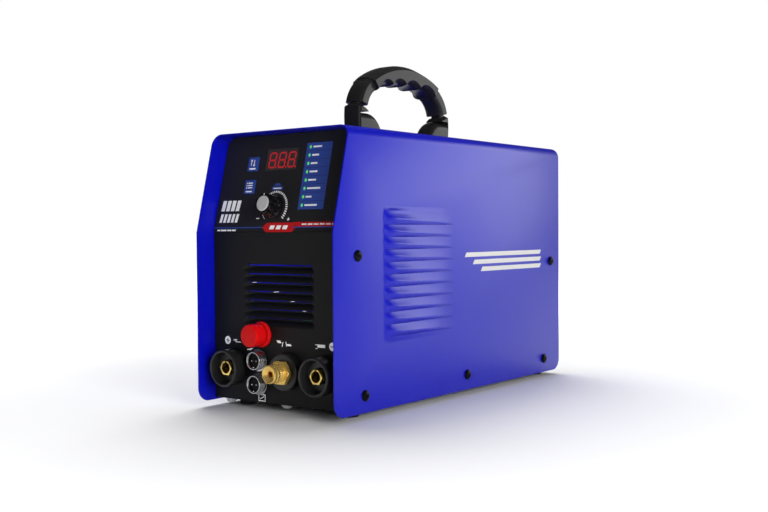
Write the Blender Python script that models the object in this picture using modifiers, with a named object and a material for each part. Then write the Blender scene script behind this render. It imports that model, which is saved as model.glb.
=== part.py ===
"""Inverter plasma cutter unit: a bent-sheet case on rubber feet, with its handle, controls, sockets and inside parts.

Sizes are in millimetres in the constants and in every outline, and MM turns them into metres. A place is written as
(x, depth, z): x from the middle of the case, depth back from the cover's lower front edge, z up from the floor.
"""

import math

import bmesh
import bpy
from mathutils import Matrix, Vector

MM = 0.001

# Case
WIDTH = 155.0
LENGTH = 375.0
SHEET = 1.2
FLOOR_GAP = 5.0
TOP = 239.25
KINK = 152.9
SETBACK = 21.4
BEND = 10.0
CORNER = 12.0
FIT_GAP = 0.3
ORIGIN_DEPTH = 198.85

# Front and rear panels
PLATE = 1.5
FRONT_RECESS = 19.8
REAR_DEPTH = 372.0
PANEL_BOTTOM = 7.35
PANEL_HALF = WIDTH / 2 - SHEET - FIT_GAP
SLOPE = math.atan2(SETBACK, TOP - KINK)
FLANGE = 20.0

# Vents
SIDE_VENTS = 10
SIDE_VENT_PITCH = 10.46
SIDE_VENT_TOP = 158.6
SIDE_VENT_SPAN = (68.0, 168.0)
FRONT_VENTS = 7
FRONT_VENT_PITCH = 7.53
FRONT_VENT_TOP = 125.4
FRONT_VENT_HALF = 38.0
VENT_GAP = 2.4

# Front connectors: x and z on the panel
SOCKETS = {"socket_left": (-51.2, 35.9), "socket_right": (51.2, 35.9)}
TORCH = (10.9, 36.2)
SIGNALS = {"upper": (-21.45, 43.6), "lower": (-21.45, 23.4)}
TERMINAL = (-18.6, 65.7)

# Control panel: x and z of the middle of each piece, and its half sizes along x and up the slope
KNOB = (-7.5, 173.7)
BUTTONS = {"mode_button": (-40.2, 212.2), "pulse_button": (-40.2, 192.2)}
BUTTON_HALF = 6.4
DISPLAY = (-7.2, 215.0)
DISPLAY_HALF = (17.9, 9.7)
LED_BAR = (23.7, 199.5)
LED_BAR_HALF = (2.2, 27.5)
OVERLAY = (0.3, 1.0)

# Rear
FAN = (0.0, 79.0)
FAN_SIZE = 120.0
FAN_DEPTH = 38.0
SWITCH = (-40.0, 196.0)
SWITCH_HALF = (10.5, 15.0)
GLAND = (34.0, 200.0)
INLET = (40.0, 160.0)
EARTH = (-52.0, 160.0)

# Handle: depth of its middle, and its arcs in the plane through it, measured up from the cover's top
HANDLE_DEPTH = 194.0
CROWN_RADIUS = 110.0
CROWN_CENTRE = -38.85
SHOULDER_RADIUS = 37.8
SHOULDER_CENTRE = (36.1, 23.65)
SHOULDER_STEP = 0.5
HANDLE_THICK = 14.5
LEG_HALF = 9.5
GRIP_HALF = 12.5
GRIP_END_ANGLE = 66.5
GRIP_END_INNER = 24.6
CUSP_PITCH = 21.0
CUSP_HEIGHT = 52.9
CUSP_DROP = 0.0026
SCALLOP_DEPTH = 6.0

# Screws through the cover's sides: depth and z
SIDE_SCREWS = ((30.5, 133.5), (356.3, 120.3), (39.1, 19.2), (193.6, 19.0), (341.0, 19.1))
FEET = ((-58.0, 43.0), (58.0, 43.0), (-58.0, 355.0), (58.0, 355.0))


# ---------------------------------------------------------------- scene, materials and places


def clear_scene():
    for obj in list(bpy.data.objects):
        bpy.data.objects.remove(obj, do_unlink=True)


def make_collection(name):
    made = bpy.data.collections.new(name)
    bpy.context.scene.collection.children.link(made)
    return made


def make_material(name, colour, roughness, metallic=0.0):
    made = bpy.data.materials.new(name)
    made.use_nodes = True
    shader = made.node_tree.nodes["Principled BSDF"]
    shader.inputs["Base Color"].default_value = (*colour, 1.0)
    shader.inputs["Roughness"].default_value = roughness
    shader.inputs["Metallic"].default_value = metallic
    made.diffuse_color = (*colour, 1.0)
    return made


clear_scene()
UNIT = make_collection("plasma_cutter_unit")
CUTTERS = make_collection("cutters")

BLUE = make_material("blue_powder_coat", (0.045, 0.050, 0.60), 0.42)
BLACK_STEEL = make_material("black_powder_coat", (0.010, 0.010, 0.011), 0.55)
FILM = make_material("overlay_film", (0.024, 0.023, 0.028), 0.50)
PLASTIC = make_material("black_plastic", (0.022, 0.022, 0.024), 0.40)
RUBBER = make_material("black_rubber", (0.012, 0.012, 0.012), 0.80)
RED = make_material("red_plastic", (0.55, 0.008, 0.010), 0.35)
KEY_BLUE = make_material("blue_key", (0.020, 0.040, 0.22), 0.45)
SILVER = make_material("silver_cap", (0.80, 0.80, 0.82), 0.25, 1.0)
CHROME = make_material("chrome_plate", (0.82, 0.82, 0.84), 0.12, 1.0)
BRASS = make_material("brass", (0.80, 0.58, 0.25), 0.25, 1.0)
STEEL = make_material("zinc_steel", (0.62, 0.62, 0.64), 0.35, 1.0)
SCREW_BLACK = make_material("black_oxide", (0.010, 0.010, 0.010), 0.35)
ALUMINIUM = make_material("aluminium", (0.75, 0.75, 0.77), 0.35, 1.0)
BOARD = make_material("circuit_board", (0.02, 0.16, 0.06), 0.50)
COPPER = make_material("enamelled_copper", (0.50, 0.16, 0.05), 0.35, 0.8)


def place(x, depth, z):
    """World position, in metres, of a place on the unit."""
    return Vector((x, depth - ORIGIN_DEPTH, z)) * MM


FACINGS = {
    "front": (Vector((1, 0, 0)), Vector((0, 0, 1))),
    "rear": (Vector((-1, 0, 0)), Vector((0, 0, 1))),
    "right": (Vector((0, 1, 0)), Vector((0, 0, 1))),
    "left": (Vector((0, -1, 0)), Vector((0, 0, 1))),
    "up": (Vector((1, 0, 0)), Vector((0, 1, 0))),
    "down": (Vector((1, 0, 0)), Vector((0, -1, 0))),
    "slope": (Vector((1, 0, 0)), Vector((0, math.sin(SLOPE), math.cos(SLOPE)))),
}


def facing(way, position):
    """Matrix of a frame at the position whose Z points out of the case that way, and whose Y points up."""
    across, up = FACINGS[way]
    out = across.cross(up)
    turn = Matrix((across, up, out)).transposed().to_4x4()
    return Matrix.Translation(position) @ turn


def on_front(x, z):
    return facing("front", place(x, FRONT_RECESS, z))


def on_rear(x, z):
    return facing("rear", place(x, REAR_DEPTH, z))


def on_slope(x, z):
    """Frame on the sloping part of the front panel, at height z."""
    return facing("slope", place(x, FRONT_RECESS + (z - KINK) * math.tan(SLOPE), z))


# ---------------------------------------------------------------- shape makers


def add_object(name, mesh, frame, material, collection=None):
    obj = bpy.data.objects.new(name, mesh)
    obj.matrix_world = frame
    if material:
        obj.data.materials.append(own_material(name, material))
    (collection or UNIT).objects.link(obj)
    return obj


def own_material(name, material):
    own = material.copy()
    own.name = f"{material.name}_{name}"
    return own


def as_cutter(obj):
    """Move an object to the cutters, where it is neither drawn nor rendered."""
    for owner in list(obj.users_collection):
        owner.objects.unlink(obj)
    CUTTERS.objects.link(obj)
    obj.hide_render = True
    obj.display_type = "WIRE"
    return obj


def boolean(obj, other, operation="DIFFERENCE"):
    modifier = obj.modifiers.new(operation.title(), "BOOLEAN")
    modifier.operation = operation
    modifier.object = as_cutter(other)
    modifier.solver = "EXACT"
    return obj


def block(name, low, high, frame=None, material=None, bevel=0.0):
    """Box between two corners in millimetres, in the frame's own axes. Without a frame the corners are places."""
    low, high = Vector(low), Vector(high)
    if frame is None:
        frame = Matrix.Translation(place(0, 0, 0))
    shape = bmesh.new()
    bmesh.ops.create_cube(shape, size=1.0)
    bmesh.ops.scale(shape, vec=(high - low) * MM, verts=shape.verts)
    bmesh.ops.translate(shape, vec=(high + low) / 2 * MM, verts=shape.verts)
    mesh = bpy.data.meshes.new(name)
    shape.to_mesh(mesh)
    shape.free()
    obj = add_object(name, mesh, frame, material)
    if bevel:
        rounding = obj.modifiers.new("Bevel", "BEVEL")
        rounding.width = bevel * MM
        rounding.segments = 2
    return obj


def rod(name, radius, low, high, frame, material=None, sides=24, tip=None):
    """Straight round or many-sided bar along the frame's Z, tapering to the tip radius if there is one."""
    shape = bmesh.new()
    bmesh.ops.create_cone(
        shape,
        cap_ends=True,
        segments=sides,
        radius1=radius * MM,
        radius2=(radius if tip is None else tip) * MM,
        depth=(high - low) * MM,
    )
    bmesh.ops.translate(shape, vec=(0, 0, (high + low) / 2 * MM), verts=shape.verts)
    mesh = bpy.data.meshes.new(name)
    shape.to_mesh(mesh)
    shape.free()
    return add_object(name, mesh, frame, material)


def turned(name, profile, frame, material=None, steps=32):
    """Solid of revolution about the frame's Z. The profile's (radius, height) points run down its outer side.

    A profile that starts and ends on the axis is a solid piece, and any other profile closes into a ring.
    """
    mesh = bpy.data.meshes.new(name)
    shape = bmesh.new()
    points = [shape.verts.new((radius * MM, 0, height * MM)) for radius, height in profile]
    for start, end in zip(points, points[1:]):
        shape.edges.new((start, end))
    if profile[0][0] > 0:
        shape.edges.new((points[-1], points[0]))
    shape.to_mesh(mesh)
    shape.free()
    obj = add_object(name, mesh, frame, material)
    screw = obj.modifiers.new("Screw", "SCREW")
    screw.steps = screw.render_steps = steps
    screw.use_merge_vertices = True
    screw.merge_threshold = 0.00001
    screw.use_smooth_shade = False
    return obj


def flat_piece(name, outlines, low, high, frame, material=None):
    """Plate between two heights of the frame. The first outline is its edge and any others are its holes."""
    curve = bpy.data.curves.new(name, "CURVE")
    curve.dimensions = "2D"
    curve.fill_mode = "BOTH"
    curve.extrude = (high - low) / 2 * MM
    for outline in outlines:
        spline = curve.splines.new("POLY")
        spline.points.add(len(outline) - 1)
        for point, (x, y) in zip(spline.points, outline):
            point.co = (x * MM, y * MM, 0, 1)
        spline.use_cyclic_u = True
    guide = bpy.data.objects.new(name + "_curve", curve)
    bpy.context.scene.collection.objects.link(guide)
    graph = bpy.context.evaluated_depsgraph_get()
    mesh = bpy.data.meshes.new_from_object(guide.evaluated_get(graph))
    bpy.data.objects.remove(guide)
    shape = bmesh.new()
    shape.from_mesh(mesh)
    bmesh.ops.remove_doubles(shape, verts=shape.verts, dist=0.000001)
    bmesh.ops.recalc_face_normals(shape, faces=shape.faces)
    shape.to_mesh(mesh)
    shape.free()
    mesh.name = name
    lifted = frame @ Matrix.Translation((0, 0, (high + low) / 2 * MM))
    return add_object(name, mesh, lifted, material)


def tube(name, points, radius, material):
    """Round tube of one diameter through places in millimetres."""
    curve = bpy.data.curves.new(name, "CURVE")
    curve.dimensions = "3D"
    curve.bevel_depth = radius * MM
    curve.bevel_resolution = 2
    curve.use_fill_caps = True
    spline = curve.splines.new("POLY")
    spline.points.add(len(points) - 1)
    for point, spot in zip(spline.points, points):
        point.co = (*place(*spot), 1)
    obj = bpy.data.objects.new(name, curve)
    curve.materials.append(own_material(name, material))
    UNIT.objects.link(obj)
    return obj


def arc(centre, radius, start, end, steps):
    """Points on an arc between two angles in degrees, both ends included."""
    turns = [math.radians(start + (end - start) * i / steps) for i in range(steps + 1)]
    return [(centre[0] + radius * math.cos(t), centre[1] + radius * math.sin(t)) for t in turns]


def circle(centre, radius, steps=32):
    return arc(centre, radius, 0, 360, steps)[:-1]


def rectangle(centre, half_x, half_y):
    x, y = centre
    return [(x - half_x, y - half_y), (x + half_x, y - half_y), (x + half_x, y + half_y), (x - half_x, y + half_y)]


def rounded_rectangle(centre, half_x, half_y, radius, steps=4):
    x, y = centre
    dx, dy = half_x - radius, half_y - radius
    corners = ((x + dx, y + dy, 0), (x - dx, y + dy, 90), (x - dx, y - dy, 180), (x + dx, y - dy, 270))
    return [p for cx, cy, start in corners for p in arc((cx, cy), radius, start, start + 90, steps)]


# ---------------------------------------------------------------- case


def side_outline():
    """Edge of the case seen from its right side, as (depth, z), carried past the top for a clean cut."""
    past = 6.0
    lean = math.tan(SLOPE)
    low = FLOOR_GAP
    return (
        arc((CORNER, low + CORNER), CORNER, 270, 180, 6)
        + [(0, KINK), ((TOP + past - KINK) * lean, TOP + past), (LENGTH, TOP + past)]
        + arc((LENGTH - CORNER, low + CORNER), CORNER, 360, 270, 6)
    )


def make_cover():
    """U-shaped sheet: two sides and a top, with the front edges leaning back above the kink."""
    half = WIDTH / 2
    section = (
        [(half, FLOOR_GAP)]
        + arc((half - BEND, TOP - BEND), BEND, 0, 90, 8)
        + arc((BEND - half, TOP - BEND), BEND, 90, 180, 8)
        + [(-half, FLOOR_GAP)]
    )
    shape = bmesh.new()
    points = [shape.verts.new(place(x, 0, z)) for x, z in section]
    edges = [shape.edges.new(pair) for pair in zip(points, points[1:])]
    swept = bmesh.ops.extrude_edge_only(shape, edges=edges)["geom"]
    moved = [item for item in swept if isinstance(item, bmesh.types.BMVert)]
    bmesh.ops.translate(shape, vec=(0, LENGTH * MM, 0), verts=moved)
    mesh = bpy.data.meshes.new("cover")
    shape.to_mesh(mesh)
    shape.free()
    cover = add_object("cover", mesh, Matrix.Identity(4), BLUE)
    sheet = cover.modifiers.new("Solidify", "SOLIDIFY")
    sheet.thickness = SHEET * MM
    sheet.offset = -1.0
    sheet.use_even_offset = True
    across = facing("right", place(0, 0, 0))
    boolean(cover, flat_piece("cover_trim", [side_outline()], -WIDTH, WIDTH, across), "INTERSECT")
    boolean(cover, vent_cutter("side_vents", side_vent_outlines(), across, WIDTH))
    for depth, z in SIDE_SCREWS:
        boolean(cover, rod("screw_hole", 2.5, -WIDTH, WIDTH, facing("right", place(0, depth, z)), sides=12))
    for sign in (-1, 1):
        hole = rod("handle_hole", 2.8, TOP - 8, TOP + 4, facing("up", place(0, handle_screw_depth(sign), 0)), sides=12)
        boolean(cover, hole)
    return cover


def side_vent_outlines():
    start, end = SIDE_VENT_SPAN
    middle, half = (start + end) / 2, (end - start) / 2
    return [
        rectangle((middle, SIDE_VENT_TOP - row * SIDE_VENT_PITCH), half, VENT_GAP / 2) for row in range(SIDE_VENTS)
    ]


def vent_cutter(name, outlines, frame, reach):
    return flat_piece(name, outlines, -reach, reach, frame)


def make_base_pan():
    """Floor plate with a flange up each side, inside the cover."""
    front, rear = FRONT_RECESS + PLATE + FIT_GAP, REAR_DEPTH - PLATE - FIT_GAP
    half, low, high = PANEL_HALF, PANEL_BOTTOM, 30.0
    pan = block("base_pan", (-half, front, low), (half, rear, low + PLATE), material=BLACK_STEEL)
    for side in (-1, 1):
        inner, outer = sorted((side * half, side * (half - PLATE)))
        boolean(pan, block("pan_flange", (inner, front, low + 0.2), (outer, rear, high)), "UNION")
    for depth, z in SIDE_SCREWS[2:]:
        boolean(pan, rod("pan_hole", 2.3, -WIDTH, WIDTH, facing("right", place(0, depth, z)), sides=12))
    for x, depth in FEET + tuple(BASE_SCREWS.values()):
        boolean(pan, rod("foot_hole", 2.8, 0, 20, facing("up", place(x, depth, 0)), sides=12))
    return pan


BASE_SCREWS = {"base_screw_middle": (0.0, 30.0), "base_screw_left": (-64.0, 28.0)}


def make_front_panel():
    """Bent plate: an upright lower part with the connector holes and vents, and a sloping upper part."""
    half = PANEL_HALF
    face = facing("front", place(0, FRONT_RECESS, 0))
    edge = [(-half, PANEL_BOTTOM), (half, PANEL_BOTTOM), (half, KINK), (-half, KINK)]
    holes = [circle(centre, 12.4) for centre in SOCKETS.values()]
    holes += [circle(TORCH, 8.5)] + [circle(centre, 7.4) for centre in SIGNALS.values()]
    holes += [circle(TERMINAL, 3.4, 16)]
    holes += [
        rectangle((0, FRONT_VENT_TOP - row * FRONT_VENT_PITCH), FRONT_VENT_HALF, VENT_GAP / 2)
        for row in range(FRONT_VENTS)
    ]
    panel = flat_piece("front_panel", [edge] + holes, -PLATE, 0, face, BLACK_STEEL)

    slope = on_slope(0, KINK)
    upper = flat_piece("front_upper", [slope_edge(half, -0.4)] + slope_holes(0.4), -PLATE, 0, slope)
    boolean(panel, upper, "UNION")
    for side in (-1, 1):
        inner, outer = sorted((side * half, side * (half - PLATE)))
        back = FRONT_RECESS + FLANGE
        flange = block("front_flange", (inner, FRONT_RECESS + 0.5, 32.0), (outer, back, KINK - 12))
        boolean(panel, flange, "UNION")
    depth, z = SIDE_SCREWS[0]
    boolean(panel, rod("front_screw_hole", 2.3, -WIDTH, WIDTH, facing("right", place(0, depth, z)), sides=12))
    return panel


def up_slope(z):
    """Distance up the sloping face from the kink to height z."""
    return (z - KINK) / math.cos(SLOPE)


def slope_edge(half, start):
    """Edge of the sloping face, from a distance above the kink up to just under the cover's top."""
    radius = BEND - SHEET + 0.7
    top = up_slope(TOP - SHEET - FIT_GAP) - 0.5
    return (
        [(-half, start), (half, start)]
        + arc((half - radius, top - radius), radius, 0, 90, 5)
        + arc((radius - half, top - radius), radius, 90, 180, 5)
    )


def slope_holes(room):
    """Openings for the display, the keys and the knob, each larger than its piece by the room around it."""
    holes = [rectangle((DISPLAY[0], up_slope(DISPLAY[1])), DISPLAY_HALF[0] + room, DISPLAY_HALF[1] + room)]
    for x, z in BUTTONS.values():
        holes.append(rectangle((x, up_slope(z)), BUTTON_HALF + room, BUTTON_HALF + room))
    holes.append(circle((KNOB[0], up_slope(KNOB[1])), 4.2, 16))
    return holes


def make_control_overlay():
    """Printed film over the sloping face, open over the display, the keys and the knob's bush."""
    outlines = [slope_edge(PANEL_HALF - 0.3, 0.4)] + slope_holes(0.3)
    return flat_piece("control_overlay", outlines, *OVERLAY, on_slope(0, KINK), FILM)


def make_rear_panel():
    half, top = PANEL_HALF, TOP - SHEET - FIT_GAP
    radius = BEND - SHEET + 0.7
    face = facing("rear", place(0, REAR_DEPTH, 0))
    edge = (
        [(-half, PANEL_BOTTOM), (half, PANEL_BOTTOM)]
        + arc((half - radius, top - radius), radius, 0, 90, 5)
        + arc((radius - half, top - radius), radius, 90, 180, 5)
    )
    holes = [rectangle((-SWITCH[0], SWITCH[1]), SWITCH_HALF[0] - 0.8, SWITCH_HALF[1] - 0.8)]
    holes += [circle((-GLAND[0], GLAND[1]), 8.4, 24), circle((-INLET[0], INLET[1]), 5.4, 20)]
    holes += [circle((-EARTH[0], EARTH[1]), 3.4, 16)]
    panel = flat_piece("rear_panel", [edge] + holes, -PLATE, 0, face, BLACK_STEEL)
    for side in (-1, 1):
        boolean(panel, flat_piece("rear_grille", grille_slots(side), -4.0, 4.0, face))
    for side in (-1, 1):
        inner, outer = sorted((side * half, side * (half - PLATE)))
        flange = block("rear_flange", (inner, REAR_DEPTH - FLANGE, 32.0), (outer, REAR_DEPTH - 0.5, top - 12))
        boolean(panel, flange, "UNION")
    depth, z = SIDE_SCREWS[1]
    boolean(panel, rod("rear_screw_hole", 2.3, -WIDTH, WIDTH, facing("right", place(0, depth, z)), sides=12))
    return panel


def grille_slots(side):
    """Level slots on one side of the fan's middle, ending on its circle."""
    rows, pitch, gap, reach, bar = 13, 8.0, 4.0, 54.0, 1.5
    slots = []
    for row in range(rows):
        offset = (row - (rows - 1) / 2) * pitch
        span = math.sqrt(reach**2 - offset**2)
        slots.append(rectangle((side * (span + bar) / 2, FAN[1] + offset), (span - bar) / 2, gap / 2))
    return slots


# ---------------------------------------------------------------- handle


def handle_screw_depth(sign):
    """Depth of the screw up into each foot of the handle."""
    return HANDLE_DEPTH + sign * 50.0


def crown(offset):
    """Height of the handle's outer top above the cover, at an offset from its middle."""
    return CROWN_CENTRE + math.sqrt(CROWN_RADIUS**2 - offset**2)


def polar(centre, radius, angle):
    turn = math.radians(angle)
    return (centre[0] + radius * math.cos(turn), centre[1] + radius * math.sin(turn))


def shoulder_outline(side):
    """Bend from the neck of a leg up to the grip, with a tongue that runs on inside the grip."""
    outer, inner = SHOULDER_RADIUS - SHOULDER_STEP, SHOULDER_RADIUS - HANDLE_THICK
    outline = arc(SHOULDER_CENTRE, outer, 11, 66, 12)
    outline += [polar(SHOULDER_CENTRE, outer - 3, 73), polar(SHOULDER_CENTRE, inner + 4, 73)]
    outline += arc(SHOULDER_CENTRE, inner, 66, 11, 8)
    return [(side * x, z) for x, z in outline]


def grip_outline():
    """Thicker middle of the handle, with four finger scallops along its underside."""
    top_corner = polar(SHOULDER_CENTRE, SHOULDER_RADIUS + 0.1, GRIP_END_ANGLE)
    low_corner = polar(SHOULDER_CENTRE, GRIP_END_INNER, GRIP_END_ANGLE)
    reach = top_corner[0] - 3
    top = [(reach * i / 8, crown(reach * i / 8)) for i in range(8, -9, -1)]
    scallops = []
    for cup in range(-2, 2):
        for i in range(6):
            offset = (cup + i / 6) * CUSP_PITCH
            lift = SCALLOP_DEPTH * math.sin(math.pi * i / 6) ** 0.7
            scallops.append((offset, CUSP_HEIGHT - CUSP_DROP * offset**2 + lift))
    scallops.append((2 * CUSP_PITCH, CUSP_HEIGHT - CUSP_DROP * (2 * CUSP_PITCH) ** 2))
    return scallops + [low_corner, top_corner] + top + [(-top_corner[0], top_corner[1]), (-low_corner[0], low_corner[1])]


def make_handle():
    """Moulded bow: a wide grip, a shoulder and a necked leg at each end, and a foot with a domed toe inside it."""
    plane = facing("right", place(0, HANDLE_DEPTH, TOP + FIT_GAP))
    across, up = SHOULDER_CENTRE
    outer, inner = across + SHOULDER_RADIUS, across + SHOULDER_RADIUS - HANDLE_THICK
    handle = flat_piece("handle", [grip_outline()], -GRIP_HALF, GRIP_HALF, plane, PLASTIC)
    for side in (-1, 1):
        boolean(handle, flat_piece("handle_shoulder", [shoulder_outline(side)], -LEG_HALF, LEG_HALF, plane), "UNION")
        neck = rectangle((side * (outer + inner) / 2, 28.6), HANDLE_THICK / 2 - 1.6, 4.3)
        boolean(handle, flat_piece("handle_neck", [neck], 1.6 - LEG_HALF, LEG_HALF - 1.6, plane), "UNION")
        leg = [(inner, 24.9), (outer, 26.6), (outer, 12.0), (outer - 2.0, 0.0), (outer - 5.5, 0.0)]
        leg += [(outer - 3.5, 12.0), (outer - 3.5, 23.7), (inner, 23.7)]
        outline = [(side * x, z) for x, z in leg]
        boolean(handle, flat_piece("handle_leg", [outline], -LEG_HALF, LEG_HALF, plane), "UNION")
        boolean(handle, handle_toe(side, plane), "UNION")
        hole = rod("toe_hole", 2.2, -1, 14, facing("up", place(0, handle_screw_depth(side), TOP + FIT_GAP)), sides=12)
        boolean(handle, hole)
    return handle


def handle_toe(side, plane):
    """Domed block inside a foot: its crest runs level from the leg's wall and rounds down, with an arched section."""
    back, crest, slump, height, base = 71.0, 49.0, 20.0, 22.3, 0.12
    half = LEG_HALF - 0.35
    profile = [(side * back, base), (side * back, height)]
    profile += [(side * (crest - slump * math.cos(t)), height * math.sin(t)) for t in quarter(8)]
    profile += [(side * (crest - slump), base)]
    toe = flat_piece("handle_toe", [profile], -half, half, plane)
    arch = [(-half, -1.0), (half, -1.0), (half, height - 7.6)]
    arch += arc((half - 7.5, height - 7.4), 7.5, 2, 90, 4) + arc((7.5 - half, height - 7.4), 7.5, 90, 178, 4)
    arch += [(-half, height - 7.6)]
    frame = facing("front", place(0, HANDLE_DEPTH, TOP + FIT_GAP))
    return boolean(toe, flat_piece("toe_arch", [arch], -90, 90, frame), "INTERSECT")


def quarter(steps):
    """Angles in radians from a right angle down to just above zero."""
    return [math.pi / 2 * (1 - i / steps) for i in range(steps)]


# ---------------------------------------------------------------- feet and screws


def make_feet():
    """Rubber feet, each pushed into a hole in the base pan."""
    profile = [(0, 12.0), (2.0, 12.0), (2.5, 9.5), (2.5, 7.0), (8.0, 7.0), (7.5, 0.0), (0, 0.0)]
    names = ("foot_front_left", "foot_front_right", "foot_rear_left", "foot_rear_right")
    for name, (x, depth) in zip(names, FEET):
        turned(name, profile, facing("up", place(x, depth, 0)), RUBBER, 20)


def make_side_screws():
    """Button-head screws that hold the cover to the panels and the pan."""
    profile = [(0, 2.6), (2.4, 2.4), (4.0, 1.6), (4.75, FIT_GAP), (2.0, FIT_GAP), (2.0, -8.0), (0, -8.0)]
    for way, sign in (("right", 1), ("left", -1)):
        for number, (depth, z) in enumerate(SIDE_SCREWS, 1):
            frame = facing(way, place(sign * WIDTH / 2, depth, z))
            turned(f"cover_screw_{way}_{number}", profile, frame, SCREW_BLACK, 12)


def make_other_screws():
    """Domed screws under the base pan, and the screws up into the handle's feet."""
    head = [(0, 5.0), (2.6, 4.6), (4.4, 3.2), (5.2, 1.4), (5.2, FIT_GAP), (2.4, FIT_GAP), (2.4, -9.0), (0, -9.0)]
    for name, (x, depth) in BASE_SCREWS.items():
        turned(name, head, facing("down", place(x, depth, PANEL_BOTTOM)), STEEL, 20)
    washer = [(0, 3.0), (3.4, 2.6), (4.6, 1.4), (4.6, FIT_GAP), (1.9, FIT_GAP), (1.9, -12.0), (0, -12.0)]
    for name, sign in (("handle_screw_front", -1), ("handle_screw_rear", 1)):
        frame = facing("down", place(0, handle_screw_depth(sign), TOP - SHEET))
        turned(name, washer, frame, STEEL, 12)


# ---------------------------------------------------------------- front connectors


def make_power_sockets():
    """Twist-lock cable sockets: an insulated cup and the brass contact in its middle."""
    cup = [
        (16.2, 14.9), (16.2, FIT_GAP), (12.0, FIT_GAP), (12.0, -22.0), (6.6, -22.0), (6.6, 7.0),
        (12.7, 7.0), (13.3, 14.9), (13.9, 15.8), (15.6, 15.8),
    ]  # fmt: skip
    for name, centre in SOCKETS.items():
        frame = on_front(*centre)
        turned(name, cup, frame, PLASTIC, 32)
        contact = rod(name + "_contact", 6.2, -28.0, 8.0, frame, BRASS, 20)
        boolean(contact, rod("contact_hex", 7.5, 7.3, 11.6, frame, sides=6), "UNION")
        boolean(contact, rod("contact_bore", 4.7, -18.0, 13.0, frame, sides=20))
        boolean(contact, block("contact_key", (-1.1, 3.0, -6.0), (1.1, 5.6, 13.0), frame))


def make_torch_connector():
    """Torch and gas outlet: an insulating flange, and the brass fitting through it."""
    frame = on_front(*TORCH)
    flange = [(15.7, 7.0), (15.7, FIT_GAP), (8.3, FIT_GAP), (8.3, 7.8), (14.9, 7.8)]
    turned("torch_flange", flange, frame, PLASTIC, 32)
    body = [
        (2.5, 24.4), (5.5, 24.4), (7.6, 22.2), (7.6, 18.4), (6.9, 17.8), (6.9, 16.6), (7.9, 16.0),
        (7.9, -22.0), (4.5, -22.0), (4.5, -34.0), (2.5, -34.0),
    ]  # fmt: skip
    fitting = turned("torch_fitting", body, frame, BRASS, 24)
    ring = rod("torch_hex", 11.0, 8.1, 11.8, frame, sides=6)
    boolean(ring, rod("torch_hex_bore", 7.0, 7.0, 13.0, frame, sides=24))
    boolean(fitting, ring, "UNION")


def make_signal_sockets():
    """Two-pin round sockets: a threaded shell and the insulator that carries the pins."""
    shell = [(8.0, 8.2), (8.0, 2.2), (9.6, 2.2), (9.6, FIT_GAP), (7.0, FIT_GAP), (7.0, -10.0), (6.2, -10.0), (6.2, 8.9), (7.4, 8.9)]
    for level, centre in SIGNALS.items():
        frame = on_front(*centre)
        turned(f"signal_socket_{level}", shell, frame, CHROME, 24)
        insert = turned(
            f"signal_insulator_{level}", [(0, 6.4), (5.9, 6.4), (5.9, -13.0), (0, -13.0)], frame, PLASTIC, 24
        )
        for side in (-1, 1):
            pin = rod("signal_pin", 1.0, 5.0, 8.0, frame @ Matrix.Translation((side * 2.6 * MM, 0, 0)), sides=10)
            boolean(insert, pin, "UNION")


def make_pilot_terminal():
    """Binding post for the pilot arc: a fixed base and stud, and the cap that unscrews along it."""
    frame = on_front(*TERMINAL)
    base = [(11.0, 2.6), (11.0, FIT_GAP), (2.9, FIT_GAP), (2.9, 3.5), (10.2, 3.5)]
    turned("terminal_base", base, frame, RED, 28)
    stud = turned("terminal_stud", [(0, 14.4), (2.4, 14.4), (2.4, -14.0), (0, -14.0)], frame, BRASS, 16)
    boolean(stud, rod("stud_nut", 6.0, -6.5, -PLATE - FIT_GAP, frame, sides=6), "UNION")
    cap = [(0, 16.8), (8.9, 16.8), (9.6, 16.0), (9.6, 5.1), (7.0, 4.6), (7.0, 3.8), (2.7, 3.8), (2.7, 15.4), (0, 15.4)]
    turned("terminal_cap", cap, frame, RED, 28)


# ---------------------------------------------------------------- controls


def make_knob():
    """Skirted knob with a silver cap, on the shaft of its potentiometer."""
    frame = on_slope(*KNOB)
    body = [
        (0, 14.6), (6.9, 14.6), (6.9, 15.3), (8.8, 15.3), (9.5, 14.4), (9.9, 4.2), (12.3, 3.6), (12.5, 1.5),
        (3.4, 1.5), (3.4, 12.6), (0, 12.6),
    ]  # fmt: skip
    turned("knob_body", body, frame, PLASTIC, 24)
    turned("knob_cap", [(0, 15.9), (6.0, 15.9), (6.5, 15.4), (6.5, 14.9), (0, 14.9)], frame, SILVER, 24)
    rod("knob_shaft", 2.9, -9.0, 12.3, frame, STEEL, 12)
    pot = [(3.7, 1.2), (3.7, -2.0), (8.5, -2.0), (8.5, -11.0), (0, -11.0), (0, -9.4), (3.2, -9.4), (3.2, 1.2)]
    solid_pot = [(0, 1.2)] + pot[:5]
    potentiometer = turned("potentiometer", solid_pot, frame, STEEL, 20)
    boolean(potentiometer, rod("pot_bore", 3.2, -9.4, 3.0, frame, sides=16))


def make_buttons():
    """Sprung keys: a blue face in the overlay and a stem down to its switch."""
    for name, centre in BUTTONS.items():
        frame = on_slope(*centre)
        half = BUTTON_HALF
        key = block(name, (-half, -half, -0.8), (half, half, 1.3), frame, KEY_BLUE)
        boolean(key, block(name + "_stem", (-2.0, -2.0, -9.0), (2.0, 2.0, 0.0), frame), "UNION")


def make_display():
    frame = on_slope(*DISPLAY)
    x, y = DISPLAY_HALF
    block("display_module", (-x, -y, -9.0), (x, y, 0.8), frame, PLASTIC)


def make_led_bar():
    x, y = LED_BAR_HALF
    block("led_bar", (-x, -y, -7.0), (x, y, -1.9), on_slope(*LED_BAR), PLASTIC)


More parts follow.
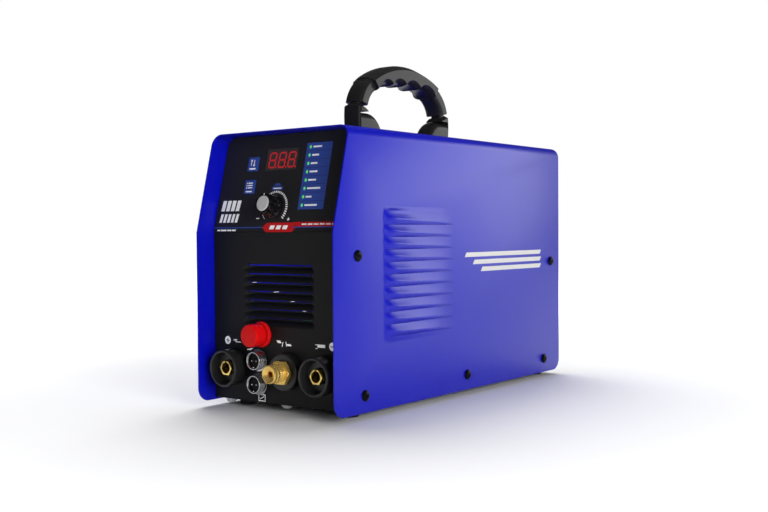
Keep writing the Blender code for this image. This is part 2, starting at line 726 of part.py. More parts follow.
def make_control_board():
    """Board behind the sloping face, which the switches, the display and the lamps sit on."""
    frame = on_slope(0, 196.0)
    block("control_board", (-62.0, -36.0, -15.0), (62.0, 36.0, -13.4), frame, BOARD)


# ---------------------------------------------------------------- rear fittings


def make_fan():
    """Axial fan behind the rear grille: a square frame and the rotor that turns in it."""
    half, depth = FAN_SIZE / 2, FAN_DEPTH
    frame = facing("rear", place(FAN[0], REAR_DEPTH - PLATE - 0.5, FAN[1]))
    shell = flat_piece("fan_frame", [rounded_rectangle((0, 0), half, half, 6.0, 3)], -depth, 0, frame, PLASTIC)
    boolean(shell, rod("fan_bore", half - 3.0, -depth - 1.0, 1.0, frame, sides=44))
    for arm in range(3):
        turn = frame @ Matrix.Rotation(math.radians(ARM_ANGLE + 120 * arm), 4, "Z")
        boolean(shell, block("fan_arm", (14.7, -3.0, 0.3 - depth), (half - 1.2, 3.0, 4.0 - depth), turn), "UNION")
    boolean(shell, rod("fan_motor", 18.3, 0.1 - depth, 5.0 - depth, frame, sides=26), "UNION")
    rotor = rod("fan_rotor", 21.0, 6.0 - depth, -3.0, frame, PLASTIC, 24)
    blades = 7
    for blade in range(blades):
        turn = frame @ Matrix.Rotation(2 * math.pi * blade / blades, 4, "Z")
        pitch = turn @ Matrix.Rotation(math.radians(38), 4, "X")
        boolean(rotor, block("fan_blade", (17.0, -14.0, -1.0), (half - 4.6, 14.0, 1.0), shifted(pitch, depth)), "UNION")


ARM_ANGLE = 94.0


def shifted(frame, depth):
    """A blade's frame, moved to the middle of the rotor's depth."""
    return Matrix.Translation(Vector((0, -(depth - 3.0) / 2 * MM, 0))) @ frame


def make_power_switch():
    """Rocker switch in the rear panel: its framed body and the rocker."""
    x, y = SWITCH_HALF
    frame = on_rear(*SWITCH)
    body = block("power_switch", (-x, -y, FIT_GAP), (x, y, 2.2), frame, PLASTIC)
    boolean(body, block("switch_body", (1.2 - x, 1.2 - y, -24.0), (x - 1.2, y - 1.2, 1.0), frame), "UNION")
    boolean(body, block("switch_well", (2.2 - x, 2.6 - y, -9.0), (x - 2.2, y - 2.6, 4.0), frame))
    pivot = frame @ Matrix.Translation((0, 0, -3.0 * MM))
    tilt = pivot @ Matrix.Rotation(math.radians(-ROCKER_TILT), 4, "X")
    half_x, half_y = x - 2.7, y - 4.2
    outline = [(-half_y, -1.5), (-3.0, -4.0), (3.0, -4.0), (half_y, -1.5), (half_y, 5.4), (0, 3.8), (-half_y, 5.4)]
    edge_on = tilt @ Matrix(((0, 0, 1, 0), (1, 0, 0, 0), (0, 1, 0, 0), (0, 0, 0, 1)))
    flat_piece("switch_rocker", [outline], -half_x, half_x, edge_on, RED)


ROCKER_TILT = 11.0


def make_cable_gland():
    """Gland for the mains cord, with its lock nut inside the panel."""
    frame = on_rear(*GLAND)
    outer = [(5.2, 22.0), (8.4, 22.0), (10.4, 17.0), (10.8, 8.6), (11.6, 7.6), (11.6, FIT_GAP), (8.0, FIT_GAP)]
    inner = [(8.0, -PLATE - FIT_GAP), (10.8, -PLATE - FIT_GAP), (10.8, -6.5), (8.0, -6.5), (8.0, -9.0), (5.2, -9.0)]
    turned("cable_gland", outer + inner, frame, PLASTIC, 24)


def make_gas_inlet():
    """Brass hose tail for the gas or air supply, with a hex against the panel."""
    frame = on_rear(*INLET)
    body = [
        (2.5, 30.3), (3.4, 30.3), (4.6, 26.5), (3.7, 26.5), (4.6, 22.0), (3.7, 22.0), (4.6, 17.5), (3.7, 17.5),
        (3.7, 10.0), (5.2, 9.0), (5.0, -14.0), (2.5, -14.0),
    ]  # fmt: skip
    inlet = turned("gas_inlet", body, frame, BRASS, 20)
    ring = rod("inlet_hex", 9.2, FIT_GAP, 7.0, frame, sides=6)
    boolean(ring, rod("inlet_hex_bore", 4.5, -1.0, 8.0, frame, sides=20))
    boolean(inlet, ring, "UNION")


def make_earth_stud():
    """Earth screw with its nut outside the rear panel."""
    frame = on_rear(*EARTH)
    stud = rod("earth_stud", 2.9, -12.0, 16.0, frame, STEEL, 16)
    boolean(stud, rod("earth_nut", 5.8, FIT_GAP, 5.2, frame, sides=6), "UNION")


# ---------------------------------------------------------------- inside


def make_heatsink():
    """Finned block on the base pan, with its fins along the air's path."""
    low, front, rear = PANEL_BOTTOM + PLATE + FIT_GAP, 118.0, 288.0
    sink = block("heatsink", (-58, front, 56.0), (58, rear, 62.0), material=ALUMINIUM)
    fins = 9
    for fin in range(fins):
        x = -56.5 + 113.0 * fin / (fins - 1)
        boolean(sink, block("heatsink_fin", (x - 1.25, front, low), (x + 1.25, rear, 57.0)), "UNION")


def make_boards_and_magnetics():
    """Power board over the heatsink, its capacitors and the main transformer."""
    block("main_board", (-70, 96, 66.0), (70, 300, 67.6), material=BOARD)
    for name, x in (("capacitor_left", -38.0), ("capacitor_right", 38.0)):
        can = [(0, 45.0), (14.0, 45.0), (15.0, 44.0), (15.0, 0.4), (0, 0.4)]
        turned(name, can, facing("up", place(x, 255, 67.6)), ALUMINIUM, 24)
    core = block("main_transformer", (-30, 130, 68.0), (30, 186, 118.0), material=COPPER, bevel=4.0)
    boolean(core, block("transformer_core", (-36, 144, 68.0), (36, 172, 112.0)), "UNION")


def make_gas_line():
    """Solenoid valve behind the inlet, and the hose from it to the torch fitting."""
    x, z = INLET
    valve = block("gas_valve", (x - 12, 322, z - 13), (x + 12, 354, z + 13), material=BRASS, bevel=1.0)
    boolean(valve, rod("valve_coil", 13.0, 12.0, 36.0, facing("up", place(x, 338, z)), sides=20), "UNION")
    route = hose_route(x, z)
    tube("gas_hose", route, 3.5, RUBBER)


def hose_route(x, z):
    """Hose from the valve forwards over the board, then down to the rear of the torch fitting."""
    start, end = (x, 321.6, z), (TORCH[0], FRONT_RECESS + 34.6, TORCH[1])
    guides = [start, (x, 300, z), (58, 250, 150), (64, 180, 140), (50, 130, 140), (2, 112, 138), (-22, 96, 100)]
    guides += [(-10, 88, 50), (TORCH[0], 74, TORCH[1]), (TORCH[0], 64, TORCH[1]), end]
    points = []
    padded = [guides[0]] + guides + [guides[-1]]
    for p0, p1, p2, p3 in zip(padded, padded[1:], padded[2:], padded[3:]):
        for step in range(5):
            t = step / 5
            points.append(tuple(catmull_rom(a, b, c, d, t) for a, b, c, d in zip(p0, p1, p2, p3)))
    return points + [end]


def catmull_rom(a, b, c, d, t):
    """Value between b and c of the smooth curve through four evenly spaced values."""
    return 0.5 * (2 * b + (c - a) * t + (2 * a - 5 * b + 4 * c - d) * t * t + (3 * b - a - 3 * c + d) * t**3)


def main():
    make_cover()
    make_base_pan()
    make_front_panel()
    make_control_overlay()
    make_rear_panel()
    make_handle()
    make_feet()
    make_side_screws()
    make_other_screws()
    make_power_sockets()
    make_torch_connector()
    make_signal_sockets()
    make_pilot_terminal()
    make_knob()
    make_buttons()
    make_display()
    make_led_bar()
    make_control_board()
    make_fan()
    make_power_switch()
    make_cable_gland()
    make_gas_inlet()
    make_earth_stud()
    make_heatsink()
    make_boards_and_magnetics()
    make_gas_line()


main()
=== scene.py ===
"""Looks of the inverter plasma cutter unit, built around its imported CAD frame.

Sizes are in millimetres in the constants and outlines, and MM turns them into metres. A place is
(x, depth, z): x from the middle of the case, depth back from the cover's lower front edge, z up from the floor.
"""

from math import atan2, cos, exp, pi, radians, sin, sqrt, tan

import bmesh
import bpy
from mathutils import Matrix, Vector


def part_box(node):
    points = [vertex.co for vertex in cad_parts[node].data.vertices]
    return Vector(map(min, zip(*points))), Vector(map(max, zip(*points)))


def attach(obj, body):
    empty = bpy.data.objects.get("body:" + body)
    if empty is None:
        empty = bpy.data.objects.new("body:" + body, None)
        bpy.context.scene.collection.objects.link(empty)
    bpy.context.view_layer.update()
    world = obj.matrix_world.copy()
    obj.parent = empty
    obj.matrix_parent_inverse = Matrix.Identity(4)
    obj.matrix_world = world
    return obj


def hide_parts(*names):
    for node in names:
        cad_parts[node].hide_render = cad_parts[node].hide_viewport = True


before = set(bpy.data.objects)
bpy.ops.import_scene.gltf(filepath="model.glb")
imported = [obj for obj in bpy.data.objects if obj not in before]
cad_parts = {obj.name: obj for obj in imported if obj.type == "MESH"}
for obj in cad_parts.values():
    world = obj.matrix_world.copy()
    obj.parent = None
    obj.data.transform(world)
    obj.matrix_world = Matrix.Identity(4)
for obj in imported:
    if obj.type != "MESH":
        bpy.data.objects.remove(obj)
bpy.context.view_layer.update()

MM = 0.001
FRONT_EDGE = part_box("cover")[0].y
WIDTH, LENGTH, SHEET = 155, 375, 1.2
FLOOR_GAP, TOP, KINK = 5, 239.25, 152.9
SETBACK, BEND, CORNER = 21.4, 10, 12
SLOPE = atan2(SETBACK, TOP - KINK)
RECESS, REAR = 19.8, 372
PANEL_BOTTOM, PANEL_HALF = 7.35, 76
PANEL_SHEET, FILM_TOP = 1.5, 1
PRINT_THICK, PRINT_GAP = 0.05, 0.02
FADE_START, FADE_END = 0.15, 1.35  # metres on the floor between which it turns to plain white

# Places of controls on the slope: x, and the height above the floor of a point there
KNOB_PLACE = (-7.5, 173.7)
KEYS_X = -40.2
KEY_LEVELS = {"mode": 212.2, "pulse": 192.2}

# Camera: azimuth, elevation and roll in degrees, place in metres from the front edge, lens in millimetres
CAMERA_TURNS = (37.047, 1.434, -0.396)
CAMERA_PLACE = (0.60702, -0.63565, 0.15457)
CAMERA_LENS = 49.49

# Louvre plans. The strips start at the flush edge and rise out of the sheet, or sink in if rise is negative.
# run_in, steep, run_out and fade shape their ends, which begin late near the lip. swell, curl and the crest,
# which drifts from its first to its second place along the strip, shape them across. slit is how far the cut
# stops short of each end, and raised and pad lift the whole block.
LOUVRE_MARGIN = 2
BLOCK_FRONT, BLOCK_DECAY, BLOCK_REAR = 15, 40, 30
SIDE_LOUVRES = {
    "span": (66, 170), "flush": 169.05, "count": 10, "pitch": 10.46, "gap": 0.2, "rise": 4.3,
    "run_in": 40, "steep": 3, "run_out": 104, "late_in": 1.2, "late_out": 0, "fade": 1.25,
    "swell": 1.2, "curl": 0.9, "crest": (0.35, 0.86), "drift": 0.6,
    "slit": (2.4, 1), "raised": 3.1, "pad": 5,
}  # fmt: skip
FRONT_LOUVRES = {
    "span": (-40.6, 40.8), "flush": 72.7, "count": 7, "pitch": 7.53, "gap": 0.9, "rise": -4,
    "run_in": 9, "steep": 1.7, "run_out": 4.5, "late_in": 4, "late_out": 2.5, "fade": 0.85,
    "swell": 1.6, "curl": 0, "crest": (0.78, 0.78), "drift": 1,
    "slit": (5.5, 2.2), "raised": 0, "pad": 0,
}  # fmt: skip
SIDES = (("right", 1), ("left", -1))
SIDE_SCREWS = ((30.5, 133.5), (356.3, 120.3), (39.1, 19.2), (193.6, 19), (341, 19.1))


# ---- places


def place(x, depth, z):
    return Vector((x * MM, FRONT_EDGE + depth * MM, z * MM))


def facing(way, position):
    """Frame at the position: its Z points out of the case that way, and its Y up."""
    across = Vector({"rear": (-1, 0, 0), "right": (0, 1, 0), "left": (0, -1, 0)}.get(way, (1, 0, 0)))
    up = Vector({"down": (0, -1, 0), "slope": (0, sin(SLOPE), cos(SLOPE))}.get(way, (0, 0, 1)))
    turn = Matrix((across, up, across.cross(up))).transposed().to_4x4()
    return Matrix.Translation(position) @ turn


def on_front(x=0, z=0):
    return facing("front", place(x, RECESS, z))


def on_rear(x, z):
    return facing("rear", place(x, REAR, z))


def on_slope(x, z):
    return facing("slope", place(x, RECESS + (z - KINK) * tan(SLOPE), z))


def up_slope(z):
    return (z - KINK) / cos(SLOPE)


def middle(node):
    """x and z of the middle of a CAD node, in millimetres."""
    low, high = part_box(node)
    return (low.x + high.x) / 2 / MM, (low.z + high.z) / 2 / MM


# ---- materials


def adjust(node, **values):
    """Set inputs of a shader node, with _ for each space in their names."""
    for socket, value in values.items():
        node.inputs[socket.replace("_", " ")].default_value = value


def join(source, output, target, socket):
    """Link an output of a shader node to an input of another."""
    source.id_data.links.new(source.outputs[output], target.inputs[socket])


def adder(nodes):
    """Function that adds a shader node of a kind."""
    return lambda kind: nodes.new("ShaderNode" + kind)


def surface(name, colour, roughness=0.5, metallic=0, mottle=0.06, grain=(900, 0.1, 0.05), cloud=30, shine=0.5):
    """Material with clouded colour and roughness, and a fine bump of (scale, strength, millimetres)."""
    made = bpy.data.materials.new(name)
    made.use_nodes = True
    add = adder(made.node_tree.nodes)
    shader = made.node_tree.nodes["Principled BSDF"]
    adjust(shader, Metallic=metallic, Specular_IOR_Level=shine)
    coords = add("TexCoord")
    clouds = add("TexNoise")
    adjust(clouds, Scale=cloud, Detail=4)
    join(coords, "Object", clouds, "Vector")
    tint = add("Mix")
    tint.data_type = "RGBA"
    dark, pale = ([min(1, c * (1 + change)) for c in colour] for change in (-mottle, mottle))
    adjust(tint, A=(*dark, 1), B=(*pale, 1))
    join(clouds, "Fac", tint, "Factor")
    join(tint, "Result", shader, "Base Color")
    spread = add("MapRange")
    rough, smooth = min(1, roughness * (1 + mottle * 1.5)), max(0.02, roughness * (1 - mottle * 1.5))
    adjust(spread, To_Min=smooth, To_Max=rough)
    join(clouds, "Fac", spread, "Value")
    join(spread, "Result", shader, "Roughness")
    scale, strength, height = grain
    if strength:
        fine = add("TexNoise")
        adjust(fine, Scale=scale, Detail=3)
        join(coords, "Object", fine, "Vector")
        bump = add("Bump")
        adjust(bump, Strength=strength, Distance=height * MM)
        join(fine, "Fac", bump, "Height")
        join(bump, "Normal", shader, "Normal")
    return made


def glowing(name, colour, strength, glow):
    made = surface(name, colour, 0.35, mottle=0.1, grain=(400, 0, 0), cloud=600)
    adjust(made.node_tree.nodes["Principled BSDF"], Emission_Color=(*glow, 1), Emission_Strength=strength)
    return made


BLUE = surface("blue_coat", (0.0008, 0.0024, 0.35), 0.35, mottle=0.05, grain=(1500, 0.22, 0.05), cloud=18)
BLACK = surface("black_coat", (0.0055, 0.0055, 0.0058), 0.6, grain=(1400, 0.3, 0.05), shine=0.3)
FILM = surface("film", (0.0135, 0.013, 0.015), 0.5, grain=(2600, 0.25, 0.03), shine=0.3)
MOULDED = surface("moulded", (0.011, 0.011, 0.0115), 0.3, grain=(1800, 0.15, 0.04), shine=0.45)
KNOB = surface("knob_plastic", (0.0035, 0.0033, 0.0035), 0.22, grain=(1800, 0.1, 0.03), shine=0.3)
INSERT = surface("insert", (0.003, 0.003, 0.003), 0.5, grain=(1800, 0.2, 0.04), shine=0.15)
HANDLE = surface("handle_plastic", (0.013, 0.0125, 0.0128), 0.3, grain=(1600, 0.15, 0.05), shine=0.2)
RUBBER = surface("rubber", (0.01, 0.01, 0.01), 0.8, grain=(1200, 0.5, 0.1))
RED = surface("red_plastic", (0.62, 0.004, 0.005), 0.26, grain=(1200, 0.12, 0.04), shine=0.14)
KEY = surface("key_blue", (0.02, 0.052, 0.27), 0.55, grain=(2200, 0.2, 0.03))
SILVER = surface("knob_silver", (0.6, 0.6, 0.605), 0.42, 0.35, grain=(2500, 0.15, 0.02))
CHROME = surface("chrome", (0.45, 0.45, 0.46), 0.2, 1, grain=(900, 0.03, 0.02))
CONTACT = surface("contact_brass", (1, 0.7, 0.22), 0.27, 1, grain=(1200, 0.12, 0.02), cloud=120)
BRASS = surface("brass", (1, 0.66, 0.18), 0.25, 0.78, grain=(1200, 0.06, 0.01), cloud=120)
# Darker, more orange copy of the brass for the inside of the torch bore: painted shade in the hole.
SHADED_BRASS = surface("brass_bore_painted_shade", (0.55, 0.17, 0.015), 0.4, 0.7)
STEEL = surface("steel", (0.62, 0.62, 0.64), 0.3, 1)
ZINC = surface("zinc_plate", (0.7, 0.7, 0.71), 0.35, 0.4)
SCREW = surface("black_oxide", (0.0015, 0.0015, 0.0015), 0.35, 0, shine=0.12)
ALUMINIUM = surface("aluminium", (0.72, 0.72, 0.74), 0.38, 1)
BOARD = surface("board", (0.015, 0.12, 0.045), 0.5, mottle=0.3, cloud=300)
COPPER = surface("copper", (0.55, 0.2, 0.07), 0.35, 0.8, mottle=0.2, cloud=400, grain=(700, 0.6, 0.3))
GLASS = surface("display_glass", (0.036, 0.029, 0.033), 0.28, grain=(1500, 0.05, 0.02), shine=0.35)
WHITE_INK = surface("white_ink", (0.94, 0.94, 0.94), 0.5, mottle=0.04)
PALE_INK = surface("pale_ink", (0.56, 0.56, 0.54), 0.5, mottle=0.05)
BLUE_INK = surface("blue_ink", (0.03, 0.064, 0.31), 0.5, mottle=0.05, shine=0.3)
DARK_INK = surface("dark_ink", (0.008, 0.01, 0.03), 0.5, mottle=0.05, shine=0.3)
RED_INK = surface("red_ink", (0.5, 0.01, 0.012), 0.45, mottle=0.05, shine=0.3)
LAMP = glowing("lamp", (0.05, 0.35, 0.08), 0.55, (0.1, 0.75, 0.16))
# White ink for the front icons with a faint glow: painted light that brightens the print, which is no lamp.
ICON_INK_PAINTED_GLOW = glowing("icon_ink_painted_glow", (0.94, 0.94, 0.94), 0.16, (1, 1, 1))
DIGIT = glowing("digit", (0.25, 0.01, 0.01), 0.27, (0.85, 0.03, 0.04))


# ---- makers


def link(name, data):
    """New object in the scene."""
    obj = bpy.data.objects.new(name, data)
    bpy.context.scene.collection.objects.link(obj)
    return obj


def add_piece(name, shape, matrix, material, slot, body="unit", cad=None, sharp=32):
    """Piece from a bmesh in millimetres. It rides on its body, and may replace a CAD node."""
    bmesh.ops.scale(shape, vec=(MM, MM, MM), verts=shape.verts)
    mesh = bpy.data.meshes.new(name)
    shape.to_mesh(mesh)
    shape.free()
    mesh.materials.append(material)
    mesh.polygons.foreach_set("use_smooth", [True] * len(mesh.polygons))
    mesh.set_sharp_from_angle(angle=radians(sharp))
    obj = link(name, mesh)
    obj.matrix_world = matrix
    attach(obj, body)
    if cad:
        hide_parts(cad)


def rounded(profile, radius, closed=False):
    """The profile with its corners cut to small curves."""
    count, made = len(profile), []
    for i, (px, py) in enumerate(profile):
        if not closed and i in (0, count - 1):
            made.append((px, py))
            continue
        before, after = Vector(profile[i - 1]), Vector(profile[(i + 1) % count])
        here = Vector((px, py))
        back, ahead = before - here, after - here
        cut = min(radius, back.length * 0.45, ahead.length * 0.45)
        start, end = here + back.normalized() * cut, here + ahead.normalized() * cut
        for t in (0, 0.25, 0.5, 0.75, 1):
            spot = start * (1 - t) ** 2 + here * 2 * t * (1 - t) + end * t**2
            made.append((spot.x, spot.y))
    return made


def outward(shape):
    """Turn the faces of a closed shape outwards."""
    bmesh.ops.recalc_face_normals(shape, faces=shape.faces)
    return shape


def lathe_shape(profile, steps=64, ripple=None):
    """Solid of revolution about Z. ripple(angle, radius, height) gives each point's radius."""
    shape = bmesh.new()
    open_ended = profile[0][0] < 1e-6 and profile[-1][0] < 1e-6
    rings = []
    for i in range(steps):
        angle = 2 * pi * i / steps
        ring = []
        for radius, height in profile:
            r = ripple(angle, radius, height) if ripple else radius
            ring.append(shape.verts.new((r * cos(angle), r * sin(angle), height)))
        rings.append(ring)
    spans = len(profile) - open_ended
    for i in range(steps):
        here, there = rings[i], rings[(i + 1) % steps]
        for j in range(spans):
            k = (j + 1) % len(profile)
            shape.faces.new((here[j], here[k], there[k], there[j]))
    bmesh.ops.remove_doubles(shape, verts=shape.verts, dist=1e-5)
    return outward(shape)


def lathe(name, profile, matrix, material, slot, radius=0.25, steps=64, ripple=None, **keys):
    closed = profile[0][0] > 1e-6
    shape = lathe_shape(rounded(profile, radius, closed) if radius else profile, steps, ripple)
    add_piece(name, shape, matrix, material, slot, **keys)


def prism(outline, low, high, bevel=0, segments=3):
    shape = bmesh.new()
    face = shape.faces.new([shape.verts.new((x, y, low)) for x, y in outline])
    grown = bmesh.ops.extrude_face_region(shape, geom=[face])["geom"]
    moved = [item for item in grown if isinstance(item, bmesh.types.BMVert)]
    bmesh.ops.translate(shape, vec=(0, 0, high - low), verts=moved)
    outward(shape)
    if bevel:
        soften(shape, bevel, segments)
    return shape


def soften(shape, width, segments, angle=30, keep=None):
    """Round the edges that turn by more than the angle, apart from those that keep() picks."""
    edges = [e for e in shape.edges if len(e.link_faces) == 2 and e.calc_face_angle(0) > radians(angle)]
    edges = [e for e in edges if not (keep and keep(e))]
    bmesh.ops.bevel(
        shape, geom=edges, offset=width, segments=segments, profile=0.5, affect="EDGES", clamp_overlap=True
    )


def merge(shape, other, matrix=None):
    """Add a bmesh to another, moved by a matrix in millimetres."""
    if matrix:
        bmesh.ops.transform(other, matrix=matrix, verts=other.verts)
    mesh = bpy.data.meshes.new("part")
    other.to_mesh(mesh)
    other.free()
    shape.from_mesh(mesh)
    bpy.data.meshes.remove(mesh)
    return shape


def loft_shape(rings):
    """Skin over rings of equally many points, closed at both ends."""
    shape = bmesh.new()
    made = [[shape.verts.new(point) for point in ring] for ring in rings]
    count = len(made[0])
    for here, there in zip(made, made[1:]):
        for i in range(count):
            j = (i + 1) % count
            shape.faces.new((here[i], here[j], there[j], there[i]))
    shape.faces.new(made[0])
    shape.faces.new(made[-1])
    return outward(shape)


def round_ends(shape, width):
    """Round the rims of a loft's two ends."""
    ends = [e for e in shape.edges if any(len(f.verts) > 8 for f in e.link_faces)]
    bmesh.ops.bevel(shape, geom=ends, offset=width, segments=2, profile=0.5, affect="EDGES")
    return shape


def flip(shape, x=1, y=1):
    """Mirror a shape in place. One of x and y is -1."""
    bmesh.ops.scale(shape, vec=(x, y, 1), verts=shape.verts)
    bmesh.ops.reverse_faces(shape, faces=shape.faces)


def combine(target, cutter, operation="DIFFERENCE"):
    """Boolean of two bmeshes in millimetres, as a new bmesh."""
    objs = []
    for shape in (target, cutter):
        mesh = bpy.data.meshes.new("boolean")
        shape.to_mesh(mesh)
        shape.free()
        objs.append(link("boolean", mesh))
    modifier = objs[0].modifiers.new("boolean", "BOOLEAN")
    modifier.operation, modifier.object, modifier.solver = operation, objs[1], "EXACT"
    bpy.context.view_layer.update()
    graph = bpy.context.evaluated_depsgraph_get()
    mesh = bpy.data.meshes.new_from_object(objs[0].evaluated_get(graph))
    made = bmesh.new()
    made.from_mesh(mesh)
    for obj in objs:
        bpy.data.objects.remove(obj)
    return made


def arc(centre, radius, start, end, steps):
    turns = [radians(start + (end - start) * i / steps) for i in range(steps + 1)]
    return [(centre[0] + radius * cos(t), centre[1] + radius * sin(t)) for t in turns]


def circle(radius, steps=40, centre=(0, 0)):
    return arc(centre, radius, 0, 360, steps)[:-1]


def rect(low_x, low_y, high_x, high_y, slant=0):
    """Four corners. The slant moves the upper two along x."""
    return [(low_x, low_y), (high_x, low_y), (high_x + slant, high_y), (low_x + slant, high_y)]


def rounded_rect(half_x, half_y, radius, x=0, y=0):
    dx, dy = half_x - radius, half_y - radius
    corners = ((x + dx, y + dy, 0), (x - dx, y + dy, 90), (x - dx, y - dy, 180), (x + dx, y - dy, 270))
    return [p for cx, cy, start in corners for p in arc((cx, cy), radius, start, start + 90, 5)]


def clamp(t):
    return max(0, min(1, t))


def ease(t):
    t = clamp(t)
    return t * t * (3 - 2 * t)


def print_on(name, outlines, matrix, material, low, body="unit", slot="overlay_film"):
    """Printed marks: every outline becomes a very thin plate, all in one piece."""
    shape = bmesh.new()
    for outline in outlines:
        merge(shape, prism(outline, low, low + PRINT_THICK))
    add_piece(name, shape, matrix, material, slot, body)


# ---- cover and its louvres


def side_outline():
    """Round lower corners, and a front edge that leans back above the kink."""
    past, lean, low = 6, tan(SLOPE), FLOOR_GAP
    return (
        arc((CORNER, low + CORNER), CORNER, 270, 180, 16)
        + [(0, KINK), ((TOP + past - KINK) * lean, TOP + past), (LENGTH, TOP + past)]
        + arc((LENGTH - CORNER, low + CORNER), CORNER, 360, 270, 16)
    )


def louvre_window(plan):
    """Low and high corners of the louvre block, along the slots and up."""
    (start, end), flush, rows, pad = plan["span"], plan["flush"], plan["count"] * plan["pitch"], plan["pad"]
    start, end = start - LOUVRE_MARGIN, end + LOUVRE_MARGIN
    if plan["rise"] > 0:
        return (start, flush - rows - pad), (end, flush + pad)
    return (start, flush - pad), (end, flush + rows + pad)


def louvre_shape(plan):
    """Sheet with pressed louvres, in a frame whose X runs along the slots, Y up, and Z out of the sheet.

    Each strip is flush along one edge, stands out, or in, up to its crest, and can curl back from there to
    its lip. The crest's place across the strip can drift along it. The whole block can stand proud.
    """
    (start, end), flush, pitch, gap, rise = (plan[key] for key in ("span", "flush", "pitch", "gap", "rise"))
    way = -1 if rise > 0 else 1
    rows, count = 16, 80
    (before, low), (past, high) = louvre_window(plan)
    columns = [before] + [start + (end - start) * ease(i / count) for i in range(count + 1)] + [past]

    def block(u, y):
        """Rise of the whole block: quick at its front, then dying away to the rear."""
        if not plan["raised"]:
            return 0
        along = 1 - (1 - clamp((u - start) / BLOCK_FRONT)) ** 2
        along *= exp((start - u) / BLOCK_DECAY) * ease((end - u) / BLOCK_REAR)
        return plan["raised"] * along * ease(min(y - low, high - y) / plan["pad"])

    def hood(u, v):
        """Rise of a strip at u along it and v across it, from 0 at its flush edge to 1 at its lip."""
        late = ease((v - 0.55) / 0.45)
        into = clamp((u - start - plan["late_in"] * late) / plan["run_in"])
        out = clamp((end - plan["late_out"] * late - u) / plan["run_out"])
        along = (1 - (1 - into) ** plan["steep"]) * out ** plan["fade"]
        near, far = plan["crest"]
        crest = near + (far - near) * clamp((u - start) / (end - start)) ** plan["drift"]
        if v < crest:
            return rise * along * (v / crest) ** plan["swell"]
        return rise * along * (1 - plan["curl"] * ((v - crest) / (1 - crest)) ** 2)

    shape = bmesh.new()
    lines, lips = [], []

    def add_line(y, v):
        lines.append([shape.verts.new((u, y, block(u, y) + hood(u, v))) for u in columns])

    pads = [plan["pad"] * i / 6 for i in range(6, 0, -1)] if plan["pad"] else []
    for away in pads:
        add_line(flush - way * away, 0)
    for strip in range(plan["count"]):
        for row in range(rows + 1):
            v = row / rows
            add_line(flush + way * (strip * pitch + v * (pitch - gap)), v)
        lips.append(len(lines) - 1)
    last = flush + way * plan["count"] * pitch
    for away in [0] + list(reversed(pads)):
        add_line(last + way * away, 0)
    for index, (here, there) in enumerate(zip(lines, lines[1:])):
        for i in range(len(columns) - 1):
            inside = start + plan["slit"][0] < columns[i] and columns[i + 1] < end - plan["slit"][1]
            if index in lips and inside:
                continue
            shape.faces.new((here[i], here[i + 1], there[i + 1], there[i]))
    bmesh.ops.recalc_face_normals(shape, faces=shape.faces)
    shape.faces.ensure_lookup_table()
    if shape.faces[0].normal.z < 0:
        bmesh.ops.reverse_faces(shape, faces=shape.faces)
    bmesh.ops.solidify(shape, geom=shape.faces, thickness=1)
    return shape


def make_cover():
    half, inner = WIDTH / 2, WIDTH / 2 - SHEET
    bend, inside = BEND, BEND - SHEET
    section = (
        [(half, FLOOR_GAP)]
        + arc((half - bend, TOP - bend), bend, 0, 90, 16)
        + arc((bend - half, TOP - bend), bend, 90, 180, 16)
        + [(-half, FLOOR_GAP), (-inner, FLOOR_GAP)]
        + arc((bend - half, TOP - bend), inside, 180, 90, 16)
        + arc((half - bend, TOP - bend), inside, 90, 0, 16)
        + [(inner, FLOOR_GAP)]
    )
    swept = prism(section, -LENGTH, 0)
    front, across = (facing(way, place(0, 0, 0)) for way in ("front", "right"))
    to_side = scaled(across.inverted() @ front)
    bmesh.ops.transform(swept, matrix=to_side, verts=swept.verts)
    shape = combine(swept, prism(side_outline(), -WIDTH, WIDTH), "INTERSECT")
    low, high = louvre_window(SIDE_LOUVRES)
    shape = combine(shape, prism(rect(*low, *high), -WIDTH, WIDTH))

    def on_window(edge):
        spots = [v.co for v in edge.verts]
        return all(low[i] - 0.1 < spot[i] < high[i] + 0.1 for spot in spots for i in (0, 1))

    soften(shape, 0.32, 2, 40, on_window)
    add_piece("case_cover", shape, across, BLUE, "blue_coat", cad="cover")
    for way, sign in SIDES:
        louvres = louvre_shape(SIDE_LOUVRES)
        if sign < 0:
            flip(louvres, x=-1)
        side = facing(way, place(sign * half, 0, 0))
        add_piece(f"cover_louvres_{way}", louvres, side, BLUE, "blue_coat", sharp=50)


def scaled(matrix):
    """A matrix between frames in metres, for shapes in millimetres."""
    made = matrix.copy()
    made.translation = made.translation / MM
    return made


def make_badge():
    """Three plain bars on each side of the cover."""
    rows = ((190, 333, 128.5), (204, 333, 121.5), (218, 333, 114.5))
    for way, sign in SIDES:
        bars = [rect(start, z, end, z + 4.2, 3) for start, end, z in rows]
        outlines = [[(sign * x, y) for x, y in bar] for bar in bars]
        matrix = facing(way, place(sign * WIDTH / 2, 0, 0))
        print_on(f"side_stripes_{way}", outlines, matrix, PALE_INK, PRINT_GAP, slot="blue_coat")


# ---- panels


def plate_shape(outline, hole, low, high):
    return combine(prism(outline, low, high), prism(hole, low - 5, high + 5))


def make_front_panel():
    low, high = louvre_window(FRONT_LOUVRES)
    outline = rect(-PANEL_HALF, PANEL_BOTTOM, PANEL_HALF, KINK)
    plate = plate_shape(outline, rect(*low, *high), -PANEL_SHEET, 0)
    lean = on_front().inverted() @ on_slope(0, KINK)
    upper_edge = rect(-PANEL_HALF, 0, PANEL_HALF, up_slope(TOP - 8))
    window = rect(-26, up_slope(204), 12, up_slope(226))
    merge(plate, plate_shape(upper_edge, window, -PANEL_SHEET, -0.1), scaled(lean))
    add_piece("front_plate", plate, on_front(), BLACK, "black_coat", cad="front_panel")
    add_piece("front_louvres", louvre_shape(FRONT_LOUVRES), on_front(), BLACK, "black_coat", sharp=50)


